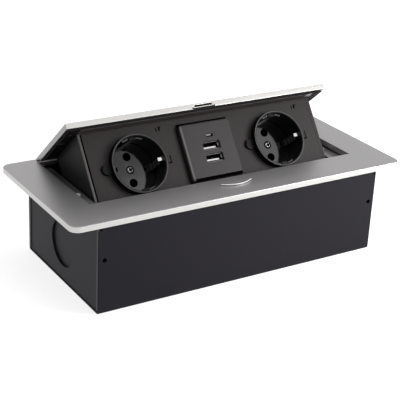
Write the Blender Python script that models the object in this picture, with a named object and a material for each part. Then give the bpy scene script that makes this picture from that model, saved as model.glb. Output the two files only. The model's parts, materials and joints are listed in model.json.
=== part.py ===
"""A desk power outlet that tilts up out of a desk top.

Two earthed sockets and a USB module sit on a sprung cradle under a flush lid. A folded steel box
carries the cradle on a shaft near its rear wall, and hangs from an aluminium frame that rests on
the desk top. A push button in the frame draws back the bolt that holds the lid shut.

Metres, +Z up, the front towards -Y. The origin is the centre of the box's underside. The cradle
is drawn closed, about its shaft, and an empty on the shaft's axis turns it up to its open rest.
"""

import math

import bmesh
import bpy
from mathutils import Matrix, Vector

# General
fit_gap = 0.0003            # between pieces that touch
sheet = 0.001               # steel sheet of the box and the cradle
total_depth = 0.068         # from the frame's top face to the box's underside

# Frame
frame_length = 0.266
frame_width = 0.116
frame_thickness = 0.004
frame_corner_radius = 0.0065
frame_edge_round = 0.0005
frame_end_overhang = 0.020  # beyond the box, at each end
rebate_depth = 0.0001       # of the frame's underside, inside the rim that lies on the desk
opening_front_y = -0.029
opening_rear_y = 0.0525
frame_boss_radius = 0.004

# Lid
lid_end_inset = 0.0065      # from the box's ends
lid_side_gap = 0.0006
lid_front_gap = 0.0005
lid_thickness = 0.004
lid_depth = 0.0646          # along its top face
lid_rear_bevel = 0.0076     # how much shorter the underside is
slit_half_width = 0.0073
slit_height = 0.0012
slit_depth = 0.0045
slit_top_drop = 0.0011      # below the lid's top face
striker_half_width = 0.009
striker_depth = 0.0085
striker_proud = 0.0008      # below the lid's underside
stud_radius = 0.0015

# Box
housing_front_y = -0.0545
housing_rear_y = 0.0555
housing_bend_radius = 0.0018
end_plate_inset = 0.0005    # behind the ends of the folded shell
ledge_drop = 0.0016         # below the frame's underside
ledge_width = 0.0153
end_flange_width = 0.0068
knockout_radius = 0.017
knockout_depth = 0.0015     # pressed in from the outside
knockout_centre_y = 0.0003
knockout_centre_z = 0.0282
fixing_hole_radius = 0.0016
fixing_hole_inset = 0.0045  # from the end of the box
fixing_hole_z = 0.039
corner_notch = 0.0033

# Hinge
pivot_y = 0.0473
pivot_drop = 0.02785        # below the frame's top face
open_tilt = math.radians(41.3)
shaft_radius = 0.0025
shaft_end = 0.0006          # beyond the clips' grooves
running_gap = 0.0001        # all round the shaft in its bores
spring_room = 0.0076        # between the cradle and each bracket
bracket_sheet = 0.0012
bracket_nose_radius = 0.007
bracket_height = 0.024
bracket_flange_width = 0.012
clip_thickness = 0.0008
clip_radius = 0.0045
clip_groove_depth = 0.0006
bush_flange_radius = 0.0045
bush_flange = 0.0008
bush_wall = 0.001
spring_wire_radius = 0.0005
spring_coil_radius = 0.0044
spring_turns = 4
spring_leg_length = 0.011

# Cradle
cradle_end_inset = 0.0101   # from the lid's ends
cradle_bend_radius = 0.0016
cradle_rear_y = 0.0225
panel_set_back = 0.0099     # behind the lid's front edge
panel_lean = math.radians(5.2)
panel_foot = 0.0022         # below the sockets' mounting rings
flange_overhang = 0.0081    # of the top flange beyond the side walls
flange_front_gap = 0.002    # behind the lid's front edge
flange_rear_y = 0.026
floor_depth = 0.030         # of the cradle's bottom, from the panel
rear_corner_rise = 0.007
arm_top_drop = 0.014        # below the lid's underside, where the arm leaves the wall
arm_bottom_drop = 0.036
lug_radius = 0.0048
stop_tab_inset = 0.0164     # from the cradle's sides
stop_tab_width = 0.016
stop_tab_hook = 0.0035      # under the frame's front edge when open
pad_inset = 0.004           # from the lid's ends
pad_y = -0.002
pad_radius = 0.002

# Sockets: radii about each socket's own axis, heights out of the panel's face
socket_shift = 0.0007       # to the middle, from half way between the module and the side
socket_down = 0.029         # below the panel's top edge
recess_radius = 0.0196
recess_floor = -0.0128
collar_radius = 0.021
collar_proud = 0.0047
mount_ring_radius = 0.0228
mount_ring_thickness = 0.002
body_back = -0.026
core_thickness = 0.0017
core_seat_lip = 0.0014
guide_rib_half_width = 0.0024
guide_rib_height = 0.0022
pin_spacing = 0.019
pin_hole_radius = 0.0026
carrier_bore_radius = 0.0032
clip_tube_radius = 0.0029
clip_tube_wall = 0.0005
clip_tube_length = 0.0065
shutter_thickness = 0.0015
shutter_half_width = 0.0035
shutter_half_length = 0.0128
strap_half_width = 0.0023
strap_thickness = 0.0008
strap_tip_height = 0.0125   # of the spring tips above the recess floor
strap_radius = 0.0186
cover_thickness = 0.0015
ear_radius = 0.0038
ear_centre_out = 0.0026     # beyond the collar
ear_proud = 0.0016
centre_screw_radius = 0.0021
screw_seat_radius = 0.0028
drive_reach = 0.0013        # of the cross recess in the screw's head

# USB module: places from the panel's top edge and from its middle
module_width = 0.042
module_height = 0.0421
module_down = 0.0283
module_proud = 0.0034
module_edge = 0.0009
module_gap = 0.0006
module_plate_thickness = 0.0041
module_box_wall = 0.0015
module_box_inset = 0.0016
module_box_back = -0.025
module_rim = 0.0026
usb_a_x = 0.0015
usb_a_downs = (0.025, 0.034)
usb_a_width = 0.0136
usb_a_height = 0.0056
usb_c_x = 0.0018
usb_c_down = 0.0177
usb_c_width = 0.009
usb_c_height = 0.0033
port_wall = 0.00035
port_set_back = 0.0012      # behind the module's face
port_back = -0.0106
tongue_set_back = 0.0028
usb_a_tongue_thickness = 0.0018
usb_c_tongue_thickness = 0.0008
board_thickness = 0.0016

# Latch
button_chord_y = -0.0391
button_depth = 0.005
button_arc_radius = 0.0213
button_proud = 0.0012       # of the frame's top face
button_flange = 0.001
button_flange_thickness = 0.0017
button_travel = 0.0018
latch_box_half_length = 0.0175
latch_box_front_y = -0.0485
latch_box_rear_y = -0.0303
latch_box_depth = 0.0107
latch_box_wall = 0.0012
bolt_half_width = 0.007
bolt_plate_drop = 0.0043    # below the frame's underside
bolt_sheet = 0.0012
tongue_thickness = 0.0008
tongue_reach = 0.0015       # into the lid's slit
riser_y = -0.033
leg_half_width = 0.0025
leg_depth = 0.0024
pocket_rear_y = -0.0372
latch_spring_radius = 0.0014
latch_spring_wire = 0.0003
button_spring_x = 0.011

# Inside the box
terminal_inset = 0.0305     # from the box's left end
terminal_y = -0.038
terminal_length = 0.026
terminal_width = 0.014
terminal_height = 0.013
terminal_ways = 3
screw_shank_radius = 0.00125
screw_head_radius = 0.0020
screw_head_height = 0.0014
screw_inset = 0.0105        # from the box's ends
screw_front_y = -0.042
screw_rear_y = 0.044

# Heights and places that follow from the sizes above
frame_top = total_depth
frame_under = frame_top - frame_thickness
housing_half = frame_length / 2 - frame_end_overhang
lid_half = housing_half - lid_end_inset
opening_half_length = lid_half + lid_side_gap
cradle_half_width = lid_half - cradle_end_inset
bracket_inner_x = cradle_half_width + spring_room
clip_groove_in = bracket_inner_x + bracket_sheet + fit_gap
clip_groove_out = clip_groove_in + clip_thickness + 2 * fit_gap
shaft_half_length = clip_groove_out + shaft_end
panel_length = socket_down + mount_ring_radius + panel_foot
socket_x = (cradle_half_width + module_width / 2) / 2 - socket_shift
stop_tab_x = cradle_half_width - stop_tab_inset
pad_x = lid_half - pad_inset
screw_front_x = housing_half - screw_inset
terminal_x = terminal_inset - housing_half
ledge_top = frame_under - ledge_drop
lid_under = frame_top - lid_thickness
lid_front_y = opening_front_y + lid_front_gap
lid_tip_y = lid_front_y + lid_depth
wall_top = frame_under - fit_gap
end_outer_x = housing_half - end_plate_inset
end_front_y = housing_front_y + sheet + fit_gap
end_rear_y = housing_rear_y - sheet - fit_gap
ledge_inner_x = end_outer_x - ledge_width
screw_rear_x = (opening_half_length + end_outer_x - sheet) / 2
pivot_z = frame_top - pivot_drop
flange_top = lid_under - fit_gap
flange_under = flange_top - sheet
panel_top_y = lid_front_y + panel_set_back
wall_inner_x = cradle_half_width - sheet
flange_half = cradle_half_width + flange_overhang
flange_front_y = lid_front_y + flange_front_gap
core_back = recess_floor - core_thickness
shutter_front = core_back - fit_gap
carrier_front = shutter_front - shutter_thickness - fit_gap
strap_back = body_back + fit_gap
carrier_back = strap_back + strap_thickness + fit_gap
plate_front = module_proud
plate_back = module_proud - module_plate_thickness
rim_front = -sheet - fit_gap
latch_front = latch_box_front_y + latch_box_wall
latch_floor = wall_top - latch_box_depth + latch_box_wall
bolt_top = frame_under - bolt_plate_drop
bolt_under = bolt_top - bolt_sheet
slit_top = frame_top - slit_top_drop
slit_floor = slit_top - slit_height
tongue_under = slit_floor + (slit_height - tongue_thickness) / 2
tongue_top = tongue_under + tongue_thickness
button_arc_y = button_chord_y - button_depth + button_arc_radius


def clear_scene():
    for item in list(bpy.data.objects):
        bpy.data.objects.remove(item)


def material(name, colour, roughness, metallic):
    """A plain Principled material."""
    made = bpy.data.materials.get(name) or bpy.data.materials.new(name)
    made.use_nodes = True
    shader = made.node_tree.nodes["Principled BSDF"]
    shader.inputs["Base Color"].default_value = (*colour, 1.0)
    shader.inputs["Roughness"].default_value = roughness
    shader.inputs["Metallic"].default_value = metallic
    return made


PAINTS = {
    "frame_aluminium": ((0.66, 0.65, 0.65), 0.42, 1.0),
    "lid_aluminium": ((0.68, 0.67, 0.66), 0.40, 1.0),
    "box_black": ((0.035, 0.034, 0.037), 0.48, 0.0),
    "panel_black": ((0.045, 0.042, 0.043), 0.50, 0.0),
    "socket_black": ((0.020, 0.020, 0.021), 0.35, 0.0),
    "core_grey": ((0.14, 0.14, 0.15), 0.55, 0.0),
    "module_black": ((0.055, 0.052, 0.052), 0.40, 0.0),
    "plastic_black": ((0.03, 0.03, 0.03), 0.45, 0.0),
    "plastic_white": ((0.75, 0.75, 0.74), 0.45, 0.0),
    "brass": ((0.70, 0.52, 0.25), 0.30, 1.0),
    "bright_steel": ((0.72, 0.72, 0.73), 0.25, 1.0),
    "dark_nickel": ((0.16, 0.16, 0.17), 0.35, 1.0),
    "spring_steel": ((0.45, 0.45, 0.47), 0.30, 1.0),
    "zinc_steel": ((0.60, 0.60, 0.61), 0.35, 1.0),
    "rubber": ((0.30, 0.30, 0.31), 0.80, 0.0),
    "board_green": ((0.02, 0.16, 0.07), 0.45, 0.0),
}


def make_object(name, bm, paint, matrix=None, parent=None):
    """Turn a bmesh into a named object, smooth on its round faces only."""
    if matrix is not None:
        bmesh.ops.transform(bm, matrix=matrix, verts=bm.verts)
    bmesh.ops.recalc_face_normals(bm, faces=bm.faces)
    mesh = bpy.data.meshes.new(name)
    bm.to_mesh(mesh)
    bm.free()
    mesh.shade_smooth()
    mesh.set_sharp_from_angle(angle=math.radians(32))
    mesh.materials.append(material(paint, *PAINTS[paint]))
    made = bpy.data.objects.new(name, mesh)
    bpy.context.collection.objects.link(made)
    made.parent = parent
    return made


def shape(target, bm, operation, matrix=None):
    """Cut from, join to or keep from the target the shape in bm, by an exact Boolean."""
    count = len(target.modifiers) + 1
    tool = make_object(f"{target.name}_tool_{count}", bm, "rubber", matrix, target.parent)
    tool.hide_render = True
    tool.display_type = "WIRE"
    step = target.modifiers.new(f"{operation.lower()}_{count}", "BOOLEAN")
    step.operation = operation
    step.solver = "EXACT"
    step.object = tool


def cut(target, bm, matrix=None):
    shape(target, bm, "DIFFERENCE", matrix)


def join(target, bm, matrix=None):
    shape(target, bm, "UNION", matrix)


def prism(points, low, high, along="z"):
    """A closed prism along an axis. The points are (y, z) along x, (x, z) along y, (x, y) along z."""
    places = {
        "x": lambda p, t: (t, p[0], p[1]),
        "y": lambda p, t: (p[0], t, p[1]),
        "z": lambda p, t: (p[0], p[1], t),
    }
    place = places[along]
    bm = bmesh.new()
    base = bm.faces.new([bm.verts.new(place(p, low)) for p in points])
    grown = bmesh.ops.extrude_face_region(bm, geom=[base])
    moved = [item for item in grown["geom"] if isinstance(item, bmesh.types.BMVert)]
    bmesh.ops.translate(bm, verts=moved, vec=Vector(place((0.0, 0.0), high - low)))
    return bm


def block(x0, x1, y0, y1, z0, z1):
    return prism([(x0, y0), (x1, y0), (x1, y1), (x0, y1)], z0, z1)


def arc(centre, radius, start, end, steps):
    """Points on a circular arc, both ends included. Angles in degrees."""
    turn = [math.radians(start + (end - start) * k / steps) for k in range(steps + 1)]
    return [(centre[0] + radius * math.cos(t), centre[1] + radius * math.sin(t)) for t in turn]


def rounded_rectangle(width, height, radius, steps=4, centre=(0.0, 0.0)):
    """Outline with four rounded corners, anticlockwise."""
    points = []
    for number, (sx, sy) in enumerate(((1, 1), (-1, 1), (-1, -1), (1, -1))):
        middle = (
            centre[0] + sx * (width / 2 - radius),
            centre[1] + sy * (height / 2 - radius),
        )
        points += arc(middle, radius, 90 * number, 90 * number + 90, steps)
    return points


def disc(radius, low, high, steps=24, centre=(0.0, 0.0), along="z"):
    return prism(arc(centre, radius, 0, 360 * (steps - 1) / steps, steps - 1), low, high, along)


def turned(profile, steps):
    """A closed (radius, height) profile turned about Z."""
    bm = bmesh.new()
    ring = [bm.verts.new((r, 0.0, h)) for r, h in profile]
    edges = [bm.edges.new((ring[k - 1], ring[k])) for k in range(len(ring))]
    bmesh.ops.spin(
        bm,
        geom=ring + edges,
        cent=(0, 0, 0),
        axis=(0, 0, 1),
        angle=2 * math.pi,
        steps=steps,
        use_merge=True,
    )
    bmesh.ops.remove_doubles(bm, verts=bm.verts, dist=1e-6)
    loose = [edge for edge in bm.edges if not edge.link_faces]
    bmesh.ops.delete(bm, geom=loose, context="EDGES")
    return bm


def strip_outline(path, thickness):
    """Outline of a folded strip whose outer side runs along the path and whose body lies to its left."""
    inner = []
    for k, point in enumerate(path):
        here = Vector(point)
        before = (here - Vector(path[k - 1])).normalized() if k else None
        after = (Vector(path[k + 1]) - here).normalized() if k + 1 < len(path) else None
        sides = [Vector((-d.y, d.x)) for d in (before, after) if d is not None]
        middle = (sides[0] + sides[-1]).normalized()
        inner.append(here + middle * (thickness / middle.dot(sides[0])))
    return list(path) + [tuple(point) for point in reversed(inner)]


def tube(points, radius, sides=5):
    """A round wire along a line of points, with flat ends."""
    spots = [Vector(point) for point in points]
    bm = bmesh.new()
    rings = []
    across = None
    for k, spot in enumerate(spots):
        ahead = spots[min(k + 1, len(spots) - 1)] - spots[max(k - 1, 0)]
        ahead.normalize()
        if across is None:
            across = ahead.orthogonal().normalized()
        across = (across - ahead * across.dot(ahead)).normalized()
        other = ahead.cross(across)
        turn = [2 * math.pi * n / sides for n in range(sides)]
        rings.append(
            [bm.verts.new(spot + radius * (math.cos(t) * across + math.sin(t) * other)) for t in turn]
        )
    for near, far in zip(rings, rings[1:]):
        for n in range(sides):
            bm.faces.new((near[n - 1], near[n], far[n], far[n - 1]))
    bm.faces.new(rings[0])
    bm.faces.new(rings[-1])
    return bm


def helix(radius, length, turns, start=0.0, steps=10):
    """Points of a helix along Z from the origin's plane."""
    count = round(turns * steps)
    spots = []
    for k in range(count + 1):
        angle = start + 2 * math.pi * turns * k / count
        spots.append((radius * math.cos(angle), radius * math.sin(angle), length * k / count))
    return spots


def panel_point(down, out):
    """(y, z) of a point on the closed panel: down from its top edge, out of its front face."""
    return (
        panel_top_y + down * math.sin(panel_lean) - out * math.cos(panel_lean),
        flange_top - down * math.cos(panel_lean) - out * math.sin(panel_lean),
    )


def panel_matrix(x, down):
    """From a feature's own axes (x, up the panel, out of the panel) to the closed cradle."""
    y, z = panel_point(down, 0.0)
    return Matrix.Translation((x, y, z)) @ Matrix.Rotation(math.pi / 2 + panel_lean, 4, "X")


def about_pivot(matrix=None):
    """From the closed cradle's place in the box to the axes of the empty on the shaft."""
    shift = Matrix.Translation((0.0, -pivot_y, -pivot_z))
    return shift @ matrix if matrix is not None else shift


def closed_place(y, z):
    """Where a point seen with the cradle open lies when it is drawn closed."""
    offset = Vector((0.0, y - pivot_y, z - pivot_z))
    offset.rotate(Matrix.Rotation(open_tilt, 3, "X"))
    return (offset.y + pivot_y, offset.z + pivot_z)


def d_outline(grow):
    """The push button's outline: a shallow arc closed by a straight chord."""
    radius = button_arc_radius + grow
    chord = button_chord_y + grow
    half_angle = math.degrees(math.acos((button_arc_y - chord) / radius))
    return arc((0.0, button_arc_y), radius, 270 - half_angle, 270 + half_angle, 12)


def make_frame():
    outline = rounded_rectangle(frame_length, frame_width, frame_corner_radius, 6)
    bm = prism(outline, frame_under, frame_top)
    rim = [
        edge
        for edge in bm.edges
        if all(abs(vert.co.z - frame_top) < 1e-6 for vert in edge.verts)
    ]
    bmesh.ops.bevel(bm, geom=rim, offset=frame_edge_round, segments=3, profile=0.5, affect="EDGES")
    frame = make_object("frame", bm, "frame_aluminium")
    half = opening_half_length
    reach = frame_thickness
    low = frame_under - reach
    rebate_half = housing_half + fit_gap
    rebate_front = housing_front_y - fit_gap
    rebate_rear = housing_rear_y + fit_gap
    rebate_top = frame_under + rebate_depth
    cut(frame, block(-rebate_half, rebate_half, rebate_front, rebate_rear, low, rebate_top))
    cut(frame, block(-half, half, opening_front_y, opening_rear_y, low, frame_top + reach))
    cut(frame, prism(d_outline(0.0), low, frame_top + reach))
    pocket_half = bolt_half_width + 4 * fit_gap
    pocket_front = opening_front_y + reach
    pocket_top = tongue_top + fit_gap
    cut(frame, block(-pocket_half, pocket_half, pocket_rear_y, pocket_front, low, pocket_top))
    boss_bottom = ledge_top + fit_gap
    sink = frame_thickness / 4
    for side in (-1, 1):
        boss_spot = (side * screw_front_x, screw_front_y)
        join(frame, disc(frame_boss_radius, boss_bottom, frame_under + sink, 20, boss_spot))
        rib = rounded_rectangle(
            end_outer_x - sheet - opening_half_length - 2 * fit_gap,
            3 * frame_boss_radius,
            frame_boss_radius / 4,
            2,
            (side * screw_rear_x, screw_rear_y),
        )
        join(frame, prism(rib, boss_bottom, frame_under + sink))
        hole = screw_shank_radius + fit_gap
        for spot in screw_places(side):
            cut(frame, disc(hole, boss_bottom - reach, frame_top - reach / 3, 12, spot))


def screw_places(side):
    return ((side * screw_front_x, screw_front_y), (side * screw_rear_x, screw_rear_y))


def make_frame_screws():
    """Pan head screws from below, through the ledges into the frame."""
    head_top = ledge_top - sheet - fit_gap
    tip = frame_top - frame_thickness / 3 - fit_gap
    for side, hand in ((-1, "left"), (1, "right")):
        for (x, y), end in zip(screw_places(side), ("front", "rear")):
            profile = [
                (0.0, head_top - screw_head_height),
                (screw_head_radius * 0.7, head_top - screw_head_height),
                (screw_head_radius, head_top - screw_head_height * 0.55),
                (screw_head_radius, head_top),
                (screw_shank_radius, head_top),
                (screw_shank_radius, tip),
                (0.0, tip),
            ]
            place = Matrix.Translation((x, y, 0.0))
            make_object(f"frame_screw_{end}_{hand}", turned(profile, 12), "zinc_steel", place)


def make_housing_shell():
    """Front, bottom and rear of the box, folded from one sheet."""
    bend = housing_bend_radius
    path = [(housing_front_y, wall_top)]
    path += arc((housing_front_y + bend, bend), bend, 180, 270, 4)
    path += arc((housing_rear_y - bend, bend), bend, 270, 360, 4)
    path += [(housing_rear_y, wall_top)]
    shell = make_object(
        "housing_shell", prism(strip_outline(path, sheet), -housing_half, housing_half, "x"), "box_black"
    )
    for side in (-1, 1):
        hole_x = side * (housing_half - fixing_hole_inset)
        cut(
            shell,
            disc(
                fixing_hole_radius,
                housing_front_y - sheet,
                housing_rear_y + sheet,
                12,
                (hole_x, fixing_hole_z),
                "y",
            ),
        )
        inner = housing_half - sheet - corner_notch / 2
        near, far = sorted((side * inner, side * (housing_half + sheet)))
        notch_bottom = wall_top - corner_notch
        notch_front = housing_front_y - sheet
        cut(shell, block(near, far, notch_front, housing_rear_y + sheet, notch_bottom, frame_top))
    return shell


def make_end_plates():
    """A flanged pan closes each end. Its top flange is the ledge that the frame is screwed to."""
    low = sheet + fit_gap
    for side, hand in ((-1, "left"), (1, "right")):
        flip = Matrix.Scale(side, 4, (1, 0, 0))
        plate = make_object(
            f"end_plate_{hand}",
            block(ledge_inner_x, end_outer_x, end_front_y, end_rear_y, low, ledge_top),
            "box_black",
            flip,
        )
        cut(
            plate,
            block(
                ledge_inner_x - sheet,
                end_outer_x - sheet,
                end_front_y + sheet,
                end_rear_y - sheet,
                low + sheet,
                ledge_top - sheet,
            ),
            flip,
        )
        cut(
            plate,
            block(
                ledge_inner_x - sheet,
                end_outer_x - end_flange_width,
                end_front_y - sheet,
                end_rear_y + sheet,
                low - sheet,
                ledge_top - 2 * sheet,
            ),
            flip,
        )
        spot = (knockout_centre_y, knockout_centre_z)
        dent = end_outer_x - knockout_depth
        join(plate, disc(knockout_radius + sheet, dent - sheet, end_outer_x - sheet / 2, 32, spot, "x"), flip)
        cut(plate, disc(knockout_radius, dent, end_outer_x + sheet, 32, spot, "x"), flip)
        hole_x = housing_half - fixing_hole_inset
        cut(
            plate,
            disc(
                fixing_hole_radius,
                end_front_y - sheet,
                end_rear_y + sheet,
                12,
                (hole_x, fixing_hole_z),
                "y",
            ),
            flip,
        )
        hole = screw_shank_radius + fit_gap
        for spot in screw_places(1):
            cut(plate, disc(hole, ledge_top - 2 * sheet, frame_under, 12, spot), flip)
        pad = disc(pad_radius, ledge_top + fit_gap, lid_under - fit_gap, 16, (pad_x, pad_y))
        make_object(f"stop_pad_{hand}", pad, "rubber", flip)


def side_profile():
    """(y, z) outline that the cradle's side walls, and their arms to the shaft, are cut to."""
    ahead = 0.2 * panel_length
    top = flange_under - fit_gap
    floor_y, floor_z = panel_point(panel_length, -floor_depth)
    arm_top = lid_under - arm_top_drop
    arm_bottom = lid_under - arm_bottom_drop
    points = [(cradle_rear_y, top), (panel_top_y - ahead, top)]
    points += [panel_point(panel_length, ahead), (floor_y, floor_z)]
    points += [(cradle_rear_y, floor_z + rear_corner_rise), (cradle_rear_y, arm_bottom)]
    points += arc((pivot_y, pivot_z), lug_radius, -100, 75, 8)
    points += [(cradle_rear_y, arm_top)]
    return points


def make_cradle_shell(parent):
    """Panel and side walls folded from one sheet, with the arms to the shaft and the stop tabs."""
    bend = cradle_bend_radius
    half = cradle_half_width
    rear = -(pivot_y + lug_radius + sheet - panel_top_y)
    path = [(half, rear)]
    path += arc((half - bend, -bend), bend, 0, 90, 3)
    path += arc((bend - half, -bend), bend, 90, 180, 3)
    path += [(-half, rear)]
    bm = prism(strip_outline(path, sheet), -2 * panel_length, panel_length, "y")
    shell = make_object("cradle_shell", bm, "panel_black", about_pivot(panel_matrix(0.0, 0.0)), parent)
    shape(shell, prism(side_profile(), -2 * half, 2 * half, "x"), "INTERSECT", about_pivot())
    for side in (-1, 1):
        tab_x = side * stop_tab_x
        tab = prism(stop_tab_outline(), tab_x - stop_tab_width / 2, tab_x + stop_tab_width / 2, "x")
        join(shell, tab, about_pivot())
        place = about_pivot(panel_matrix(side * socket_x, socket_down))
        cut(shell, disc(collar_radius + fit_gap, -2 * sheet, sheet, 36), place)
        ear = disc(ear_radius + fit_gap, -2 * sheet, sheet, 16, (-collar_radius - ear_centre_out, 0.0))
        cut(shell, ear, place)
    bore = bush_bore_radius() + bush_wall + fit_gap
    cut(shell, disc(bore, -2 * half, 2 * half, 20, (pivot_y, pivot_z), "x"), about_pivot())
    hook_y, hook_z = moving_hook()
    hook_hole = disc(2 * spring_wire_radius, -2 * half, 2 * half, 10, (hook_y, hook_z), "x")
    cut(shell, hook_hole, about_pivot())
    hole = rounded_rectangle(module_width + 2 * module_gap, module_height + 2 * module_gap, 2 * module_gap, 2)
    cut(shell, prism(hole, -2 * sheet, sheet), about_pivot(panel_matrix(0.0, module_down)))


def make_lid_flange(parent):
    """The plate under the lid that closes the cradle's top edge and takes the lid's studs."""
    low = flange_under - sheet
    high = flange_top + sheet
    body = block(-flange_half, flange_half, flange_front_y, flange_rear_y, flange_under, flange_top)
    flange = make_object("lid_flange", body, "panel_black", about_pivot(), parent)
    window_half = cradle_half_width - sheet / 2
    window_front = panel_top_y + sheet / 2
    window_rear = cradle_rear_y - sheet / 2
    cut(flange, block(-window_half, window_half, window_front, window_rear, low, high), about_pivot())
    notch_inner = pad_x - pad_radius - 3 * fit_gap
    notch_half = pad_radius + 4 * fit_gap
    for side in (-1, 1):
        near, far = sorted((side * notch_inner, side * (flange_half + sheet)))
        cut(flange, block(near, far, pad_y - notch_half, pad_y + notch_half, low, high), about_pivot())
    for spot in stud_places():
        cut(flange, disc(stud_radius + fit_gap, low, high, 12, spot), about_pivot())


def stop_tab_outline():
    """A hooked tab at the panel's foot that meets the frame's underside when the cradle is open."""
    hook_top = frame_under - fit_gap
    tip = opening_front_y - stop_tab_hook
    heel = opening_front_y
    foot = panel_point(panel_length - sheet, 0.0)
    path = [closed_place(tip, hook_top), closed_place(heel, hook_top), foot]
    path.append(panel_point(panel_length - 2 * sheet, -sheet / 2))
    return strip_outline(list(reversed(path)), sheet)


def stud_places():
    """Short studs under the lid, in the flange of the cradle."""
    x = cradle_half_width + flange_overhang / 2
    front = (flange_front_y + panel_top_y) / 2
    rear = (flange_rear_y + cradle_rear_y) / 2 - stud_radius / 2
    row = [(side * x, y) for side in (-1, 1) for y in (panel_top_y + stud_radius, rear)]
    return row + [(side * x / 2, front) for side in (-1, 1)]


def make_back_cover(parent):
    """Bottom and rear of the cradle, folded from one sheet and set between its side walls."""
    lift = sheet / 2
    start = panel_point(panel_length - lift, -sheet - 2 * fit_gap)
    corner = panel_point(panel_length - lift, -floor_depth + lift)
    rear_y = cradle_rear_y - lift
    path = [start, corner, (rear_y, corner[1] + rear_corner_rise), (rear_y, flange_under - fit_gap)]
    half = wall_inner_x - fit_gap
    outline = strip_outline(path, sheet)
    make_object("cradle_back_cover", prism(outline, -half, half, "x"), "panel_black", about_pivot(), parent)


def make_lid(parent):
    under_rear = lid_tip_y - lid_rear_bevel
    outline = [
        (lid_front_y, lid_under),
        (under_rear, lid_under),
        (lid_tip_y, frame_top),
        (lid_front_y, frame_top),
    ]
    body = prism(outline, -lid_half, lid_half, "x")
    lid = make_object("lid_plate", body, "lid_aluminium", about_pivot(), parent)
    slit_rear = lid_front_y + slit_depth
    front = lid_front_y - slit_depth
    slit_low = slit_floor - fit_gap
    slit = block(-slit_half_width, slit_half_width, front, slit_rear, slit_low, slit_top)
    cut(lid, slit, about_pivot())
    seat_half = striker_half_width + fit_gap
    seat_rear = lid_front_y + striker_depth + fit_gap
    seat_low = lid_under - lid_thickness
    cut(lid, block(-seat_half, seat_half, front, seat_rear, seat_low, slit_floor), about_pivot())
    stud_low = flange_under + fit_gap
    for spot in stud_places():
        join(lid, disc(stud_radius, stud_low, lid_under + stud_radius, 12, spot), about_pivot())
    nose = striker_proud * 2
    striker_under = lid_under - striker_proud
    profile = [
        (lid_front_y, slit_low),
        (lid_front_y, striker_under + nose),
        (lid_front_y + nose, striker_under),
        (flange_front_y - fit_gap, striker_under),
        (flange_front_y - fit_gap, lid_under),
        (lid_front_y + striker_depth, lid_under),
        (lid_front_y + striker_depth, slit_low),
    ]
    body = prism(profile, -striker_half_width, striker_half_width, "x")
    make_object("lid_striker", body, "bright_steel", about_pivot(), parent)


def bush_bore_radius():
    return shaft_radius + running_gap


def make_hinge(parent):
    """Shaft, brackets, retaining clips, bushes and the two torsion springs."""
    along_x = Matrix.Rotation(math.pi / 2, 4, "Y")
    core = shaft_radius - clip_groove_depth
    right = [
        (shaft_radius, clip_groove_in),
        (core, clip_groove_in),
        (core, clip_groove_out),
        (shaft_radius, clip_groove_out),
        (shaft_radius, shaft_half_length),
        (0.0, shaft_half_length),
    ]
    profile = [(r, -h) for r, h in reversed(right)] + right
    axis = Matrix.Translation((0.0, pivot_y, pivot_z)) @ along_x
    make_object("pivot_shaft", turned(profile, 20), "bright_steel", axis)
    rear = housing_rear_y - sheet - fit_gap
    nose = bracket_nose_radius
    for side, hand in ((-1, "left"), (1, "right")):
        flip = Matrix.Scale(side, 4, (1, 0, 0))
        outline = arc((pivot_y, pivot_z), nose, 125, 235, 7)
        outline += [(rear, pivot_z - bracket_height / 2), (rear, pivot_z + bracket_height / 2)]
        outer = bracket_inner_x + bracket_sheet
        bracket = make_object(
            f"hinge_bracket_{hand}", prism(outline, bracket_inner_x, outer, "x"), "zinc_steel", flip
        )
        foot = block(
            bracket_inner_x - bracket_flange_width,
            bracket_inner_x + bracket_sheet / 2,
            rear - bracket_sheet,
            rear,
            pivot_z - bracket_height / 2 + sheet,
            pivot_z + bracket_height / 2 - sheet,
        )
        join(bracket, foot, flip)
        bore = disc(bush_bore_radius(), 0.0, 2 * outer, 20, (pivot_y, pivot_z), "x")
        cut(bracket, bore, flip)
        hook_y, hook_z = fixed_hook()
        cut(bracket, disc(2 * spring_wire_radius, 0.0, 2 * outer, 10, (hook_y, hook_z), "x"), flip)
        clip_low = clip_groove_in + fit_gap
        ring = [
            (core + running_gap, clip_low),
            (clip_radius, clip_low),
            (clip_radius, clip_low + clip_thickness),
            (core + running_gap, clip_low + clip_thickness),
        ]
        clip = make_object(f"retaining_clip_{hand}", turned(ring, 20), "spring_steel", flip @ axis)
        mouth = block(
            0.0, 2 * outer, pivot_y - core, pivot_y + core, pivot_z - 2 * clip_radius, pivot_z
        )
        cut(clip, mouth, flip)
        bush_profile = [
            (bush_bore_radius(), wall_inner_x - fit_gap - bush_flange),
            (bush_flange_radius, wall_inner_x - fit_gap - bush_flange),
            (bush_flange_radius, wall_inner_x - fit_gap),
            (bush_bore_radius() + bush_wall, wall_inner_x - fit_gap),
            (bush_bore_radius() + bush_wall, cradle_half_width + fit_gap),
            (bush_bore_radius(), cradle_half_width + fit_gap),
        ]
        bush_place = about_pivot(flip @ axis)
        make_object(f"pivot_bush_{hand}", turned(bush_profile, 20), "plastic_black", bush_place, parent)
        make_object(f"torsion_spring_{hand}", tube(torsion_path(), spring_wire_radius), "spring_steel", flip)


def moving_hook():
    """(y, z) of the hole in the closed side wall's arm that takes the torsion spring's leg."""
    direction = math.radians(180) + open_tilt
    reach = Vector((spring_leg_length, -spring_coil_radius))
    reach.rotate(Matrix.Rotation(direction, 2))
    return (pivot_y + reach.x, pivot_z + reach.y)


def fixed_hook():
    """(y, z) of the hole in the bracket that takes the torsion spring's other leg."""
    return (pivot_y + spring_coil_radius, pivot_z - 0.6 * spring_leg_length)


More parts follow.
